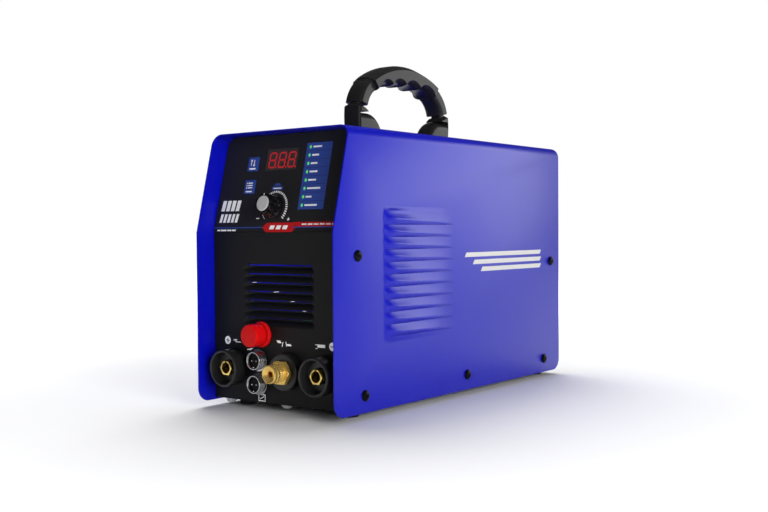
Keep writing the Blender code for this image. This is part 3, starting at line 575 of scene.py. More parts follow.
def seven_segments(x, y, width, height, slant, stroke):
    """Outlines of a digit 8 with its point, leaning by the slant."""
    lean = lambda px, py: (px + (py - y) * slant, py)
    half, gap = stroke / 2, 0.18
    made = []
    for level in (0, 0.5, 1):
        cy = y + half + level * (height - stroke)
        bar = [(x + half + gap, cy), (x + stroke + gap, cy + half), (x + width - stroke - gap, cy + half)]
        bar += [(x + width - half - gap, cy), (x + width - stroke - gap, cy - half)]
        bar.append((x + stroke + gap, cy - half))
        made.append([lean(*p) for p in bar])
    for side in (x + half, x + width - half):
        for level in (0, 1):
            low = y + half + gap + level * (height - stroke) / 2
            high = low + (height - stroke) / 2 - 2 * gap
            bar = [(side, low), (side + half, low + half), (side + half, high - half), (side, high)]
            bar += [(side - half, high - half), (side - half, low + half)]
            made.append([lean(*p) for p in bar])
    made.append([lean(*p) for p in circle(half * 1.05, 12, (x + width + 0.9, y + half))])
    return made


def make_overlay_prints():
    flat, level, on_top = on_slope(0, KINK), FILM_TOP + PRINT_GAP, PRINT_THICK
    up = up_slope

    def mark(name, outlines, ink, above=0):
        print_on(f"print_{name}", outlines, flat, ink, level + above)

    # lamp strip: eight rows with a lamp and a plain bar in each
    rows, left, right = 8, 19.5, 47.4
    low, high = up(171.5), up(227.7)
    pitch = (high - low) / rows
    mark("lamp_strip", [rect(left, low, right, high)], BLUE_INK)
    lines = [rect(left + 0.6, low + pitch * i - 0.12, right, low + pitch * i + 0.12) for i in range(1, rows)]
    mark("row_lines", lines, DARK_INK, on_top)
    lamps, labels = bmesh.new(), []
    for row, width in enumerate((9.5, 7.5, 7, 8.5, 8.5, 14.5, 6.5, 13.5)):
        y = high - pitch * (row + 0.5)
        lamp = lathe_shape([(0, 0.42), (0.5, 0.38), (0.9, 0.26), (1.15, 0.05), (1.15, 0), (0, 0)], 20)
        bmesh.ops.scale(lamp, vec=(1, 1.25, 1), verts=lamp.verts)
        merge(lamps, lamp, Matrix.Translation((left + 4.1, y, level + 0.04)))
        labels.append(rect(left + 7, y - 0.75, left + 7 + width, y + 0.75))
    add_piece("lamps", lamps, flat, LAMP, "lamp_green")
    mark("row_bars", labels, WHITE_INK, on_top)

    # knob scale, its end signs and the label over it
    cx, cy = KNOB_PLACE[0], up(KNOB_PLACE[1])
    ticks, count = [], 34
    for i in range(count):
        turn = radians(226 - 264 * i / (count - 1))
        inner, outer, wide = 13, 13.6 + 2.1 * i / (count - 1), 0.036
        ticks.append([
            (cx + r * cos(turn + s), cy + r * sin(turn + s))
            for r, s in ((inner, -wide), (outer, -wide), (outer, wide), (inner, wide))
        ])  # fmt: skip
    for x, y, dx, low, high in (
        (-24.4, up(164.6), 1.8, -0.4, 0.4), (10.9, up(163.6), 1.5, -0.35, 0.35),
        (10.9, up(163.6), 0.35, 0.37, 1.5), (10.9, up(163.6), 0.35, -1.5, -0.37),
    ):  # fmt: skip
        ticks.append(rect(x - dx, y + low, x + dx, y + high))
    mark("scale", ticks, WHITE_INK)
    tag, tip = up(190.1), up(193.1)
    label = [rect(-13.4, tag - 1.5, -0.8, tag + 1.5)]
    label += [[(-11.6, tip - 0.9), (-3.2, tip - 0.9), (-5.2, tip + 1.4), (-9.6, tip + 1.4)]]
    mark("knob_label", label, BLUE_INK)
    mark("knob_bar", [rect(-11.6, tag - 0.45, -2.6, tag + 0.45)], WHITE_INK, on_top)

    # plain blocks where the type plate goes
    blocks = []
    for z, height, count in ((171.3, 9.2, 4), (161.3, 7.4, 5)):
        base, tall = up(z), height / cos(SLOPE)
        pitch_x = 23.6 / count
        for i in range(count):
            start = -70.4 + i * pitch_x
            blocks.append(rect(start, base, start + pitch_x - 1.7, base + tall, 1.2))
    mark("blocks", blocks, WHITE_INK)

    # lines and flashes along the film's lower edge
    line = up(156.8)
    lines = [rect(-75.4, line - 0.45, -17.5, line + 0.45), rect(17, line - 0.45, 75, line + 0.45)]
    mark("blue_lines", lines, BLUE_INK)
    flash = [(-17.4, line), (-12.6, line + 4.1), (16.9, line + 4.1), (20.8, line)]
    flash += [(16.9, line - 4.1), (-12.6, line - 4.1)]
    stripe = [(20.9, line + 0.6), (16.6, line + 4.4), (75.2, line + 4.4), (75.2, line + 0.6)]
    mark("red_flash", [flash, stripe], RED_INK)
    bars = [rect(-9.2 + 7.4 * i, line - 1.7, -4.2 + 7.4 * i, line + 1.7, 1.2) for i in range(3)]
    bars += [rect(27 + 6.5 * i, line + 1.9, 32 + 6.5 * i, line + 3.1) for i in range(6)]
    mark("flash_bars", bars, WHITE_INK, on_top)
    small = [rect(x, up(153.9), x + w, up(155.2)) for x, w in ((-71, 3), (-67, 7), (-59, 5), (-53, 4.4))]
    small += [rect(x, up(153.7), x + 3.2, up(155.6)) for x in (62, 67)]
    mark("small_marks", small, WHITE_INK)


def make_display():
    """Three digits just over the glass."""
    digits = []
    for i in range(3):
        digits += seven_segments(-22.6 + 11 * i, up_slope(207.6), 8.6, 14.4, 0.06, 1.55)
    print_on("display_digits", digits, on_slope(0, KINK), DIGIT, 0.83, slot="display_glass")


def make_keys():
    for key, z in KEY_LEVELS.items():
        node, body = f"{key}_button", f"{key}_key"
        matrix = on_slope(KEYS_X, z)
        outline = rounded_rect(6.35, 6.35, 0.9)
        shape = prism(outline, -0.8, 1.3, 0.25, 2)
        merge(shape, prism(rounded_rect(2, 2, 0.4), -9, -0.7))
        add_piece(f"{node}_cap", shape, matrix, KEY, "key_blue", body, cad=node)
        if key == "mode":
            marks = [rect(-2.4, -1.6, -1.7, 2.6), rect(0.9, -0.6, 1.6, 3.6)]
            marks += [[(-3.4, 2.6), (-0.7, 2.6), (-2.05, 4.4)], [(-0.1, -0.6), (2.6, -0.6), (1.25, -2.4)]]
            marks += [rect(-3.6, -4.9, 3.6, -3.7)]
        else:
            marks = [rect(-1.9, y, 3.4, y + 0.85) for y in (2.9, 0.8, -1.3)]
            marks += [circle(0.55, 10, (-3.2, y + 0.42)) for y in (2.9, 0.8, -1.3)]
            marks += [rect(-3.6, -4.9, 3.6, -3.8)]
        print_on(f"{node}_mark", marks, matrix, WHITE_INK, 1.32, body=body, slot="key_blue")


def make_front_icons():
    flat = on_front()
    white = [circle(3.5, 28, (-60, 58.6)), circle(3.5, 28, (59.4, 59.8))]
    strokes = (
        (43.4, 58.4, 51.5, 60.9), (41.2, 57.2, 43.2, 57.8, 0.4), (41, 60.2, 43.2, 60.8),
        (-53.4, 58.6, -49.4, 59.9, 1), (-50, 57.2, -43.4, 58.1, -1.6), (-0.6, 59.5, 3.6, 61.6, -1.4),
        (3.9, 56.6, 4.6, 60.6, 0.9), (9, 57, 9.7, 61, -0.8), (10.4, 57.6, 15, 59.2, -1.2),
        (-37, 51.6, -32, 52.3, 0.9), (-33.4, 52.6, -30.4, 53.2, 0.8),
    )  # fmt: skip
    white += [rect(*stroke) for stroke in strokes]
    x, z = -19.6, 11.3
    sides = ((-4, -3, 4, -2.4), (-4, 2.4, 4, 3), (-4, -2.4, -3.4, 2.4), (3.4, -2.4, 4, 2.4))
    white += [rect(x + low_x, z + low_y, x + high_x, z + high_y) for low_x, low_y, high_x, high_y in sides]
    white.append([(x - 2.4, z - 0.9), (x - 2.2, z - 1.4), (x + 2.4, z + 0.9), (x + 2.2, z + 1.4)])
    # The icons' white ink glows faintly: painted light on the print.
    print_on("front_icons", white, flat, ICON_INK_PAINTED_GLOW, PRINT_GAP, slot="black_coat")
    dark = [rect(-62.1, 58.2, -57.9, 59), rect(57.3, 59.4, 61.5, 60.2)]
    dark += [rect(-60.4, 59.02, -59.6, 60.7), rect(-60.4, 56.5, -59.6, 58.18)]
    print_on("front_icon_signs", dark, flat, DARK_INK, 0.08, slot="black_coat")


# ---- connectors


def make_power_sockets():
    cup = [
        (16.2, 14.6), (16.2, 5), (15.3, 3), (15.3, 0.3), (12, 0.3), (12, -22), (6.6, -22), (6.6, 7),
        (12.3, 7), (12.9, 12.2), (13.5, 15), (14.1, 15.8), (15.5, 15.8),
    ]  # fmt: skip
    for side in ("left", "right"):
        node = f"socket_{side}"
        matrix = on_front(*middle(node))
        lathe(f"{node}_cup", cup, matrix, MOULDED, "moulded_black", 0.5, 80, cad=node)
        insert = prism(circle(7.1, 6), 7.3, 11.8, 0.25, 2)
        insert = combine(insert, prism(circle(6.2), -28, 8), "UNION")
        bore = combine(prism(circle(4.85), -18, 14), prism(rect(-1.2, 3, 1.2, 5.6), -7, 14), "UNION")
        insert = combine(insert, bore)
        add_piece(f"{node}_insert", insert, matrix, CONTACT, "brass_metal", cad=f"{node}_contact")


def thread(low, high, outer, inner, pitch):
    """Profile points down a threaded length."""
    points, z = [], high
    while z - pitch > low:
        points += [(outer, z - 0.15 * pitch), (outer, z - 0.4 * pitch)]
        points += [(inner, z - 0.65 * pitch), (inner, z - 0.9 * pitch)]
        z -= pitch
    return points


def make_torch_connector():
    matrix = on_front(*middle("torch_flange"))
    flange = [(15.7, 6.9), (15.7, 0.3), (8.3, 0.3), (8.3, 7.6), (15, 7.6)]
    lathe("torch_disc", flange, matrix, MOULDED, "moulded_black", 0.4, 80, cad="torch_flange")
    body = [(2.6, 22.4), (6.9, 24.4), (7.6, 23.9), (7.8, 23.2), (7.8, 21.6), (7.2, 21.2), (7.2, 20.4)]
    body += [(7.8, 20.1), (7.8, 18.6)] + thread(12, 18.4, 7.8, 7.55, 0.8)
    body += [(7.6, 12), (7.6, -22), (4.5, -22), (4.5, -34), (2.6, -34)]
    shape = lathe_shape(rounded(body, 0.12, True), 64)
    nut = prism(circle(11, 6), 8.1, 11.8)
    dome = lathe_shape([(0, 12.4), (9.2, 12), (11.4, 10.9), (11.4, 9), (9.3, 7.9), (0, 7.9)], 48)
    nut = combine(nut, dome, "INTERSECT")
    nut = combine(nut, prism(circle(7.5), 5, 14))
    merge(shape, nut)
    add_piece("torch_nose", shape, matrix, BRASS, "brass_metal", cad="torch_fitting")
    # A thin tube of the darker brass lining the bore: painted shade deep in the hole.
    cone = [(2.55, 22.4), (2.55, -20), (2.2, -20), (2.2, 22)]
    lathe("torch_bore_shade_liner", cone, matrix, SHADED_BRASS, "brass_metal", 0, 32)


def make_signal_sockets():
    for level in ("upper", "lower"):
        node = f"signal_socket_{level}"
        matrix = on_front(*middle(node))
        shell = [(6.9, 8.9), (7.6, 8.9), (8, 8.4)] + thread(2.4, 8.3, 8, 7.55, 0.95)
        shell += [(7.7, 2.4), (9.6, 2.2), (9.6, 0.3), (7, 0.3), (7, -10), (6.2, -10), (6.2, 7.9)]
        lathe(f"{node}_shell", shell, matrix, CHROME, "chrome_shell", 0.1, 72, cad=node)
        insert = [(0, 6.4), (5.9, 6.4), (5.9, -13), (0, -13)]
        lathe(f"signal_insert_{level}", insert, matrix, INSERT, "moulded_black", 0.2, 40,
              cad=f"signal_insulator_{level}")  # fmt: skip
        pins = bmesh.new()
        for x in (-2.6, 2.6):
            pin = lathe_shape([(0, 8), (0.7, 7.8), (1, 7.3), (1, 6.3), (0, 6.3)], 16)
            merge(pins, pin, Matrix.Translation((x, 0, 0)))
        merge(pins, prism(rect(-0.6, -6.15, 0.6, -5.2), 6.3, 8.4))
        add_piece(f"signal_pins_{level}", pins, matrix, CHROME, "chrome_shell")
    matrix = on_front(*middle("signal_socket_upper"))
    print_on("signal_red_dot", [rounded_rect(1.3, 0.8, 0.5, 3.2, 4.6)], matrix, RED, 6.45, slot="red_plastic")


def make_terminal():
    matrix = on_front(*middle("terminal_cap"))
    base = [(10.7, 2.6), (11, 2), (11, 0.3), (2.9, 0.3), (2.9, 3.5), (9.8, 3.5)]
    lathe("terminal_foot", base, matrix, RED, "red_plastic", 0.4, 72, cad="terminal_base")
    cap = [(0, 16.8), (8.9, 16.8), (9.6, 16.1), (9.6, 5.3), (9.3, 5), (7, 4.6)]
    cap += [(7, 3.8), (2.7, 3.8), (2.7, 15.4), (0, 15.4)]
    lathe("terminal_top", cap, matrix, RED, "red_plastic", 0.25, 72, body="terminal", cad="terminal_cap")


# ---- knob


def make_knob():
    matrix = on_slope(*KNOB_PLACE)
    body = [
        (0, 14.6), (6.9, 14.6), (7.1, 15.2), (8.5, 15.2), (9.1, 14.2), (9.5, 5), (10.1, 3.4), (10.4, 2.8),
        (10.4, 1.5), (3.4, 1.5), (3.4, 12.6), (0, 12.6),
    ]  # fmt: skip

    def flutes(angle, radius, height):
        if radius < 8 or height < 3.2:
            return radius
        dip = max(0, cos(angle * 8)) ** 1.2
        return radius - 1.5 * dip * ease((height - 3.2) / 3)

    detailed = []  # the body, with more points down its flutes
    for (r0, h0), (r1, h1) in zip(body, body[1:]):
        detailed.append((r0, h0))
        if abs(h1 - h0) > 5 and min(r0, r1) > 8:
            detailed += [(r0 + (r1 - r0) * t, h0 + (h1 - h0) * t) for t in (0.2, 0.4, 0.6, 0.75, 0.9)]
    detailed.append(body[-1])
    lathe("knob_grip", detailed, matrix, KNOB, "moulded_black", 0.3, 144, flutes, body="knob", cad="knob_body")
    cap = [(0, 15.75), (4.6, 15.75), (5.9, 15.85), (6.55, 15.5), (6.6, 14.9), (0, 14.9)]
    lathe("knob_disc", cap, matrix, SILVER, "knob_silver", 0.15, 64, body="knob", cad="knob_cap")
    line = [rect(-0.45, 7.2, 0.45, 8.7)]
    print_on("knob_line", line, matrix, WHITE_INK, 15.22, body="knob", slot="moulded_black")


# ---- handle

HANDLE_DEPTH = 194
HANDLE_BASE = TOP + 0.3
CROWN_RADIUS, CROWN_CENTRE = 110, -37.9
BOW_RADIUS, BOW_CENTRE, BOW_THICK = 37.8, (36.1, 23.65), 14.5
LEG_HALF, GRIP_HALF = 10, 13.6
GRIP_ENDS = {-1: (56, 57.5), 1: (66.5, 66.5)}  # top and low angle on the bow at the front and the rear end
CROWN_END, BOW_LIFT = 51.2, 1.1
SHOULDER_START, SHOULDER_END, SHOULDER_TAPER = 14, 69.5, 64


def crown(offset):
    """Height of the grip's top, which follows the bows past the ends of its own arc."""
    if abs(offset) < CROWN_END:
        return CROWN_CENTRE + sqrt(CROWN_RADIUS**2 - offset**2)
    return BOW_CENTRE[1] + BOW_LIFT + sqrt(BOW_RADIUS**2 - (abs(offset) - BOW_CENTRE[0]) ** 2)


def polar(centre, radius, angle):
    turn = radians(angle)
    return Vector((centre[0] + radius * cos(turn), centre[1] + radius * sin(turn)))


def shaped_top(half, tall, corner):
    """Right half of a section's upper edge: a creased elliptic corner of (across, down) and a level crest."""
    across, down = corner
    points = [(half, tall - down * 0.82)]
    for step in range(6):
        turn = radians(24 + 66 * step / 5)
        points.append((half - across * (1 - cos(turn)), tall - down * (1 - sin(turn))))
    return points + [((half - across) * 0.5, tall)]


def mirrored(near):
    return [(-x, y) for x, y in reversed(near)]


def bar_section(top, bottom, half, corner, inner):
    """Bar section between a top and a bottom point of the handle's plane, as (x, offset, z) points."""
    up = (top - bottom).normalized()
    near = [((half - inner) * 0.5, 0)] + arc((half - inner, inner), inner, 270, 360, 5)
    near += shaped_top(half, (top - bottom).length, corner)
    points = near + [(0, (top - bottom).length)] + mirrored(near) + [(0, 0)]
    return [(x, (bottom + up * y).x, (bottom + up * y).y) for x, y in points]


def grip_section(top, edge, crown_low, half, corner):
    """Grip section: sloping flanks, side faces with a crisp scalloped edge, and a bellied palm side."""
    up = (top - edge).normalized()
    tall, deep = (top - edge).length, (edge - crown_low).length
    across, down = corner
    near = [(half, 0), (half, 0.6)]
    flank = ((0, 1), (0.08, 0.9), (0.5, 0.46), (0.9, 0.07), (1.1, 0))
    near += [(half - across * a, tall - down * b) for a, b in flank]
    near.append(((half - across) * 0.5, tall))
    belly = []
    for step in range(1, 8):
        t = step / 7
        belly.append((half - 2 * t * (1 - t) * 2.4 - t * t * 6.4, -(2 * t * (1 - t) * 0.8 + t * t) * deep))
    points = near + [(0, tall)] + mirrored(near)
    points += [(-x, y) for x, y in belly] + [(0, -deep * 1.04)] + list(reversed(belly))
    return [(x, (edge + up * y).x, (edge + up * y).y) for x, y in points]


def finger_arch(offset):
    """0 at the cusps between fingers, 1 in the middle of each. The fingers widen towards the rear."""
    first, wide, growth = 4.7, 22.4, 1.025
    along = (sqrt(wide**2 + 4 * growth * (offset + first)) - wide) / (2 * growth)
    return abs(sin(pi * along)) ** 0.62


def make_handle():
    matrix = Matrix.Translation(place(0, HANDLE_DEPTH, HANDLE_BASE))
    grip = grip_shape()
    for side in (-1, 1):
        merge(grip, shoulder_shape(side))
        merge(grip, leg_shape(side))
    add_piece("carry_handle", grip, matrix, HANDLE, "handle_plastic", cad="handle", sharp=21)


def grip_shape():
    stations = 160
    rings = []
    for i in range(stations + 1):
        t = 2 * i / stations - 1
        high, low = GRIP_ENDS[-1 if t < 0 else 1]
        top_end, low_end = polar(BOW_CENTRE, BOW_RADIUS, high), polar(BOW_CENTRE, 24.6, low)
        top = Vector((t * top_end.x, crown(t * top_end.x)))
        x = t * low_end.x
        share = ease((abs(x) - low_end.x + 4.6) / 4.6)
        level = 52.6 - 0.0026 * min(abs(x), 41.5) ** 2
        arch = finger_arch(x) * (1 - share)
        edge = (level + 1.2 + 5.4 * arch) * (1 - share) + (low_end.y + 1.5) * share
        low = (level - 0.6 + 2.6 * arch) * (1 - share) + (low_end.y - 0.9) * share
        rings.append(grip_section(top, Vector((x, edge)), Vector((x, low)), GRIP_HALF, (8.4, 4.6)))
    return round_ends(loft_shape(rings), 0.4)


def shoulder_shape(side):
    """Bow between a leg and the grip, whose underside is cut back where it enters the grip."""
    rings, stations = [], 30
    outer, inner = BOW_RADIUS - 0.5, BOW_RADIUS - BOW_THICK
    for i in range(stations + 1):
        angle = SHOULDER_START + (SHOULDER_END - SHOULDER_START) * i / stations
        top, low = polar(BOW_CENTRE, outer, angle), polar(BOW_CENTRE, inner, angle)
        if angle > SHOULDER_TAPER:
            low = polar(BOW_CENTRE, inner + 1.6 * (angle - SHOULDER_TAPER) / 2, angle)
        ring = bar_section(top, low, LEG_HALF, (5.6, 4), 4.6)
        rings.append([(x, side * y, z) for x, y, z in ring])
    return round_ends(loft_shape(rings), 0.45)


def leg_shape(side):
    """Neck, hollow leg with its sloping top plate, and the domed toe inside it."""
    across = BOW_CENTRE[0]
    outer, inner = across + BOW_RADIUS, across + BOW_RADIUS - BOW_THICK
    middle_y, reach = (outer + inner) / 2, BOW_THICK / 2
    neck = prism(rounded_rect(LEG_HALF - 4.2, reach - 3, 2.4, 0, middle_y), 26, 34.5)
    leg_rings = []
    for z, bulge in ((0, -1.9), (3, -1.2), (8, -0.35), (14, 0.1), (19, 0.2), (23, 0.1)):
        leg_rings.append(leg_ring(inner, outer + bulge, LEG_HALF + bulge * 0.35, z, z))
    leg_rings.append(leg_ring(inner + 1.6, outer - 0.2, LEG_HALF, 24.6, 28.6))
    leg_rings.append(leg_ring(inner + 1.8, outer - 2, LEG_HALF - 3, 27.3, 30.8))
    leg = loft_shape(leg_rings)
    wall, roof = 2, 23.7
    pocket = [(inner - 6, -2), (outer - wall, -2), (outer - wall, roof), (inner - 6, roof)]
    pocket = prism([(-z, y) for y, z in pocket], -20, 20)
    bmesh.ops.rotate(pocket, matrix=Matrix.Rotation(radians(90), 3, "Y"), verts=pocket.verts)
    leg = combine(leg, pocket)
    shape = merge(neck, leg)
    merge(shape, toe_shape(outer - 2.6))
    if side < 0:
        flip(shape, y=-1)
    return shape


def leg_ring(inner, outer, half, low_z, high_z):
    """Section of a leg, its outer edges rounded, and its height running from its inner to its outer side."""
    radius = 3.6
    outline = [(-half, inner), (half, inner)]
    outline += arc((half - radius, outer - radius), radius, 0, 90, 6)
    outline += arc((radius - half, outer - radius), radius, 90, 180, 6)
    span = outer - inner
    return [(x, y, low_z + (high_z - low_z) * (y - inner) / span) for x, y in outline]


def toe_shape(back):
    """Dome of arched section: level crest from the leg, rounding down towards the handle's middle."""
    crest, reach, height, half = 56, 38.6, 22.8, LEG_HALF - 0.15
    rings = []
    stations = [back - i * (back - crest) / 4 for i in range(4)]
    stations += [crest - (crest - reach) * sin(radians(a)) for a in range(0, 90, 6)] + [reach + 0.02]
    for y in stations:
        share = max(0, (crest - y) / (crest - reach))
        tall = height * sqrt(max(0, 1 - share**2)) + 0.05
        radius = min(7.6, tall * 0.9)
        ring = [(half, y, 0), (half, y, (tall - radius) * 0.5), (half, y, tall - radius)]
        ring += [(x, y, z) for x, z in arc((half - radius, tall - radius), radius, 0, 90, 6)][1:]
        ring += [(x, y, z) for x, z in arc((radius - half, tall - radius), radius, 90, 180, 6)]
        ring += [(-half, y, (tall - radius) * 0.5), (-half, y, 0)]
        rings.append(ring)
    return loft_shape(rings)


# ---- feet, screws and rear


def make_feet():
    profile = [(0, 12), (2, 12), (2.5, 9.5), (2.5, 7), (8, 7), (7.5, 0), (5, 0), (4.6, 0.9), (0, 0.9)]
    for node in ("foot_front_left", "foot_front_right", "foot_rear_left", "foot_rear_right"):
        low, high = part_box(node)
        centre = (low + high) / 2
        matrix = Matrix.Translation((centre.x, centre.y, 0))
        lathe(f"{node}_rubber", profile, matrix, RUBBER, "foot_rubber", 0.5, 48, cad=node)


def screw_shape():
    """Domed screw with a cross recess."""
    head, radius, shank, length, gap, recess = 2.5, 4.75, 2, 8, 0.3, 1.7
    profile = [(0, head), (radius * 0.45, head * 0.96), (radius * 0.8, head * 0.72), (radius, gap + 0.35)]
    profile += [(radius, gap), (shank, gap), (shank, -length), (0, -length)]
    shape = lathe_shape(profile, 40)
    for outline in (rect(-recess, -0.45, recess, 0.45), rect(-0.45, -recess, 0.45, recess)):
        shape = combine(shape, prism(outline, head - 1.3, head + 1))
    return shape


def make_screws():
    for way, sign in SIDES:
        for number, (depth, z) in enumerate(SIDE_SCREWS, 1):
            node = f"cover_screw_{way}_{number}"
            matrix = facing(way, place(sign * WIDTH / 2, depth, z)) @ Matrix.Rotation(number * 0.7, 4, "Z")
            add_piece(f"{node}_head", screw_shape(), matrix, SCREW, "black_screw", cad=node)
    dome = [(0, 5), (2.6, 4.6), (4.4, 3.2), (5.2, 1.4), (5.2, 0.3), (2.4, 0.3), (2.4, -9), (0, -9)]
    for node in ("base_screw_middle", "base_screw_left"):
        low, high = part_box(node)
        centre = (low + high) / 2
        matrix = facing("down", Vector((centre.x, centre.y, PANEL_BOTTOM * MM)))
        lathe(f"{node}_dome", dome, matrix, ZINC, "zinc_steel", 0.9, 48, cad=node)


def make_rear():
    """Switch with its rocker, cable gland, gas tail and earth stud."""
    matrix = on_rear(*middle("power_switch"))
    bezel = prism(rounded_rect(10.5, 15, 1.6), 0.3, 2.2, 0.5)
    bezel = combine(bezel, prism(rounded_rect(9.3, 13.8, 0.6), -24, 1), "UNION")
    bezel = combine(bezel, prism(rect(-8.3, -12.4, 8.3, 12.4), -9, 6))
    add_piece("switch_bezel", bezel, matrix, MOULDED, "moulded_black", cad="power_switch")
    tilt = matrix @ Matrix.Translation((0, 0, -3 * MM)) @ Matrix.Rotation(radians(-11), 4, "X")
    edge_on = tilt @ Matrix(((0, 0, 1, 0), (1, 0, 0, 0), (0, 1, 0, 0), (0, 0, 0, 1)))
    outline = [(-10.8, -1.5), (-3, -4), (3, -4), (10.8, -1.5), (10.8, 5.4)]
    outline += [(10.8 - 2.7 * i, 3.8 + 1.6 * abs(1 - i / 4) ** 1.6) for i in range(1, 8)] + [(-10.8, 5.4)]
    rocker = prism(outline, -7.75, 7.75, 0.45)
    add_piece("rocker_key", rocker, edge_on, RED, "red_plastic", "rocker", "switch_rocker")
    face = tilt @ Matrix.Rotation(radians(5.5), 4, "X")
    print_on("rocker_mark", [rect(-0.4, 5.2, 0.4, 9)], face, WHITE_INK, 4.35, "rocker", "red_plastic")

    def ribs(angle, radius, height):
        if 9 < height < 17.5 and radius > 9.5:
            return radius - 0.7 * max(0, cos(angle * 12)) ** 2
        return radius

    gland = [
        (5.2, 22), (8.4, 22), (9.4, 20.6), (10.2, 18), (10.4, 17), (10.6, 13), (10.8, 9.2), (10.8, 8.6),
        (11.6, 7.6), (11.6, 0.3), (8, 0.3), (8, -1.8), (10.8, -1.8), (10.8, -6.5), (8, -6.5), (8, -9),
        (5.2, -9),
    ]  # fmt: skip
    lathe("gland_body", gland, on_rear(*middle("cable_gland")), MOULDED, "moulded_black", 0.3, 96, ribs,
          cad="cable_gland")  # fmt: skip
    tail = [(2.5, 30.3), (3.4, 30.3), (4.6, 26.5), (3.7, 26.3), (4.6, 22), (3.7, 21.8), (4.6, 17.5)]
    tail += [(3.7, 17.3), (3.7, 10), (5.2, 9), (5, -14), (2.5, -14)]
    shape = lathe_shape(rounded(tail, 0.15, True), 48)
    merge(shape, prism(circle(9.2, 6), 0.3, 7, 0.5))
    add_piece("gas_tail", shape, on_rear(*middle("gas_inlet")), BRASS, "brass_metal", cad="gas_inlet")
    bolt = [(0, 16), (2.4, 16), (2.9, 15.5)] + thread(-11, 15.4, 2.9, 2.45, 0.8) + [(2.9, -12), (0, -12)]
    stud = lathe_shape(bolt, 32)
    merge(stud, prism(circle(5.8, 6), 1.3, 5.2, 0.4))
    merge(stud, lathe_shape([(0, 1.2), (6.4, 1.2), (6.4, 0.3), (0, 0.3)], 40))
    add_piece("ground_screw", stud, on_rear(*middle("earth_stud")), STEEL, "zinc_steel", cad="earth_stud")


def dress_cad_nodes():
    """Give the CAD nodes that stay in view their materials."""
    for material, nodes in (
        (BLACK, ("base_pan", "rear_panel")),
        (FILM, ("control_overlay",)),
        (GLASS, ("display_module",)),
        (BRASS, ("terminal_stud", "gas_valve")),
        (MOULDED, ("fan_frame", "fan_rotor", "led_bar")),
        (STEEL, ("potentiometer", "knob_shaft", "handle_screw_front", "handle_screw_rear")),
        (BOARD, ("control_board", "main_board")),
        (ALUMINIUM, ("heatsink", "capacitor_left", "capacitor_right")),
        (COPPER, ("main_transformer",)),
        (RUBBER, ("gas_hose",)),
    ):
        for node in nodes:
            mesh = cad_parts[node].data
            mesh.materials.clear()
            mesh.materials.append(material)


# ---- studio


def make_studio():
    world = bpy.context.scene.world = bpy.data.worlds.new("studio")
    world.use_nodes = True
    world.node_tree.nodes.clear()
    add = adder(world.node_tree.nodes)
    seen, light = add("Background"), add("Background")
    adjust(seen, Color=(1, 1, 1, 1))
    adjust(light, Color=(0.96, 0.97, 1, 1), Strength=0.08)
    path, mix, out = add("LightPath"), add("MixShader"), add("OutputWorld")
    join(path, "Is Camera Ray", mix, "Fac")
    join(light, "Background", mix, 1)
    join(seen, "Background", mix, 2)
    join(mix, "Shader", out, "Surface")

    floor = bmesh.new()
    bmesh.ops.create_grid(floor, x_segments=1, y_segments=1, size=40)
    mesh = bpy.data.meshes.new("floor")
    floor.to_mesh(mesh)
    floor.free()
    mesh.materials.append(floor_material())
    obj = link("floor", mesh)

    area_light("key_right", (1.75, -0.85, 0.45), (0, 0, 0.12), 1, 0.8, 37).visible_glossy = False
    area_light("sparkle", (1.5, -1.35, 0.35), (0, 0, 0.1), 0.5, 0.4, 3).visible_diffuse = False
    area_light("rear_right", (1.35, 2, 0.72), (0, 0, 0.2), 1.9, 1.25, 22).visible_diffuse = False
    area_light("top", (-0.7, 0.7, 2.1), (0, 0, 0), 2, 2, 62).visible_glossy = False
    inside = bpy.data.lights.new("inside", "POINT")
    inside.energy, inside.shadow_soft_size = 0.25, 0.02
    glow = link("inside", inside)
    glow.location, glow.visible_glossy = place(-30, 80, 130), False
    bpy.context.scene.view_settings.view_transform = "Standard"


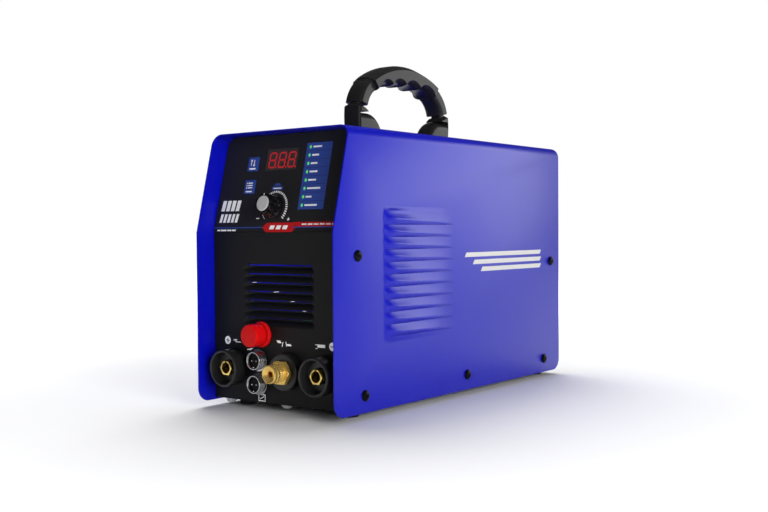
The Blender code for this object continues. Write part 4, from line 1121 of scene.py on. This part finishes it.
def floor_material():
    """Pale floor that brightens to plain white far from the unit."""
    made = surface("floor", (0.87, 0.87, 0.88), 0.9, grain=(50, 0, 0), mottle=0.005, shine=0.05)
    add = adder(made.node_tree.nodes)
    coords = add("TexCoord")
    length = add("VectorMath")
    length.operation = "LENGTH"
    fade = add("MapRange")
    fade.interpolation_type = "SMOOTHSTEP"
    adjust(fade, From_Min=FADE_START, From_Max=FADE_END, To_Max=1)
    join(coords, "Object", length, 0)
    join(length, "Value", fade, "Value")
    shader = made.node_tree.nodes["Principled BSDF"]
    adjust(shader, Emission_Color=(1, 1, 1, 1))
    path, glow = add("LightPath"), add("Math")
    glow.operation = "MULTIPLY"
    join(fade, "Result", glow, 0)
    join(path, "Is Camera Ray", glow, 1)
    join(glow, "Value", shader, "Emission Strength")
    return made


def area_light(name, location, target, wide, tall, power):
    """Light at the location in metres, turned to the target."""
    data = bpy.data.lights.new(name, "AREA")
    data.shape, data.size, data.size_y, data.energy = "RECTANGLE", wide, tall, power
    obj = link(name, data)
    obj.location, obj.rotation_mode = location, "QUATERNION"
    obj.rotation_quaternion = (Vector(target) - Vector(location)).to_track_quat("-Z", "Y")
    return obj


def make_camera():
    azimuth, elevation, roll = (radians(turn) for turn in CAMERA_TURNS)
    back = Vector((sin(azimuth) * cos(elevation), -cos(azimuth) * cos(elevation), sin(elevation)))
    right = (-back).cross(Vector((0, 0, 1))).normalized()
    up = back.cross(right)
    turned_right = right * cos(roll) + up * sin(roll)
    turned_up = up * cos(roll) - right * sin(roll)
    data = bpy.data.cameras.new("camera")
    data.lens, data.sensor_width, data.clip_start, data.clip_end = CAMERA_LENS, 36, 0.01, 50
    obj = link("camera", data)
    turn = Matrix((turned_right, turned_up, back)).transposed().to_4x4()
    obj.matrix_world = Matrix.Translation(Vector(CAMERA_PLACE) + Vector((0, FRONT_EDGE, 0))) @ turn
    bpy.context.scene.camera = obj


make_camera()
make_studio()
make_cover()
make_badge()
make_front_panel()
make_overlay_prints()
make_display()
make_keys()
make_front_icons()
make_power_sockets()
make_torch_connector()
make_signal_sockets()
make_terminal()
make_knob()
make_handle()
make_feet()
make_screws()
make_rear()
dress_cad_nodes()

bpy.context.view_layer.update()
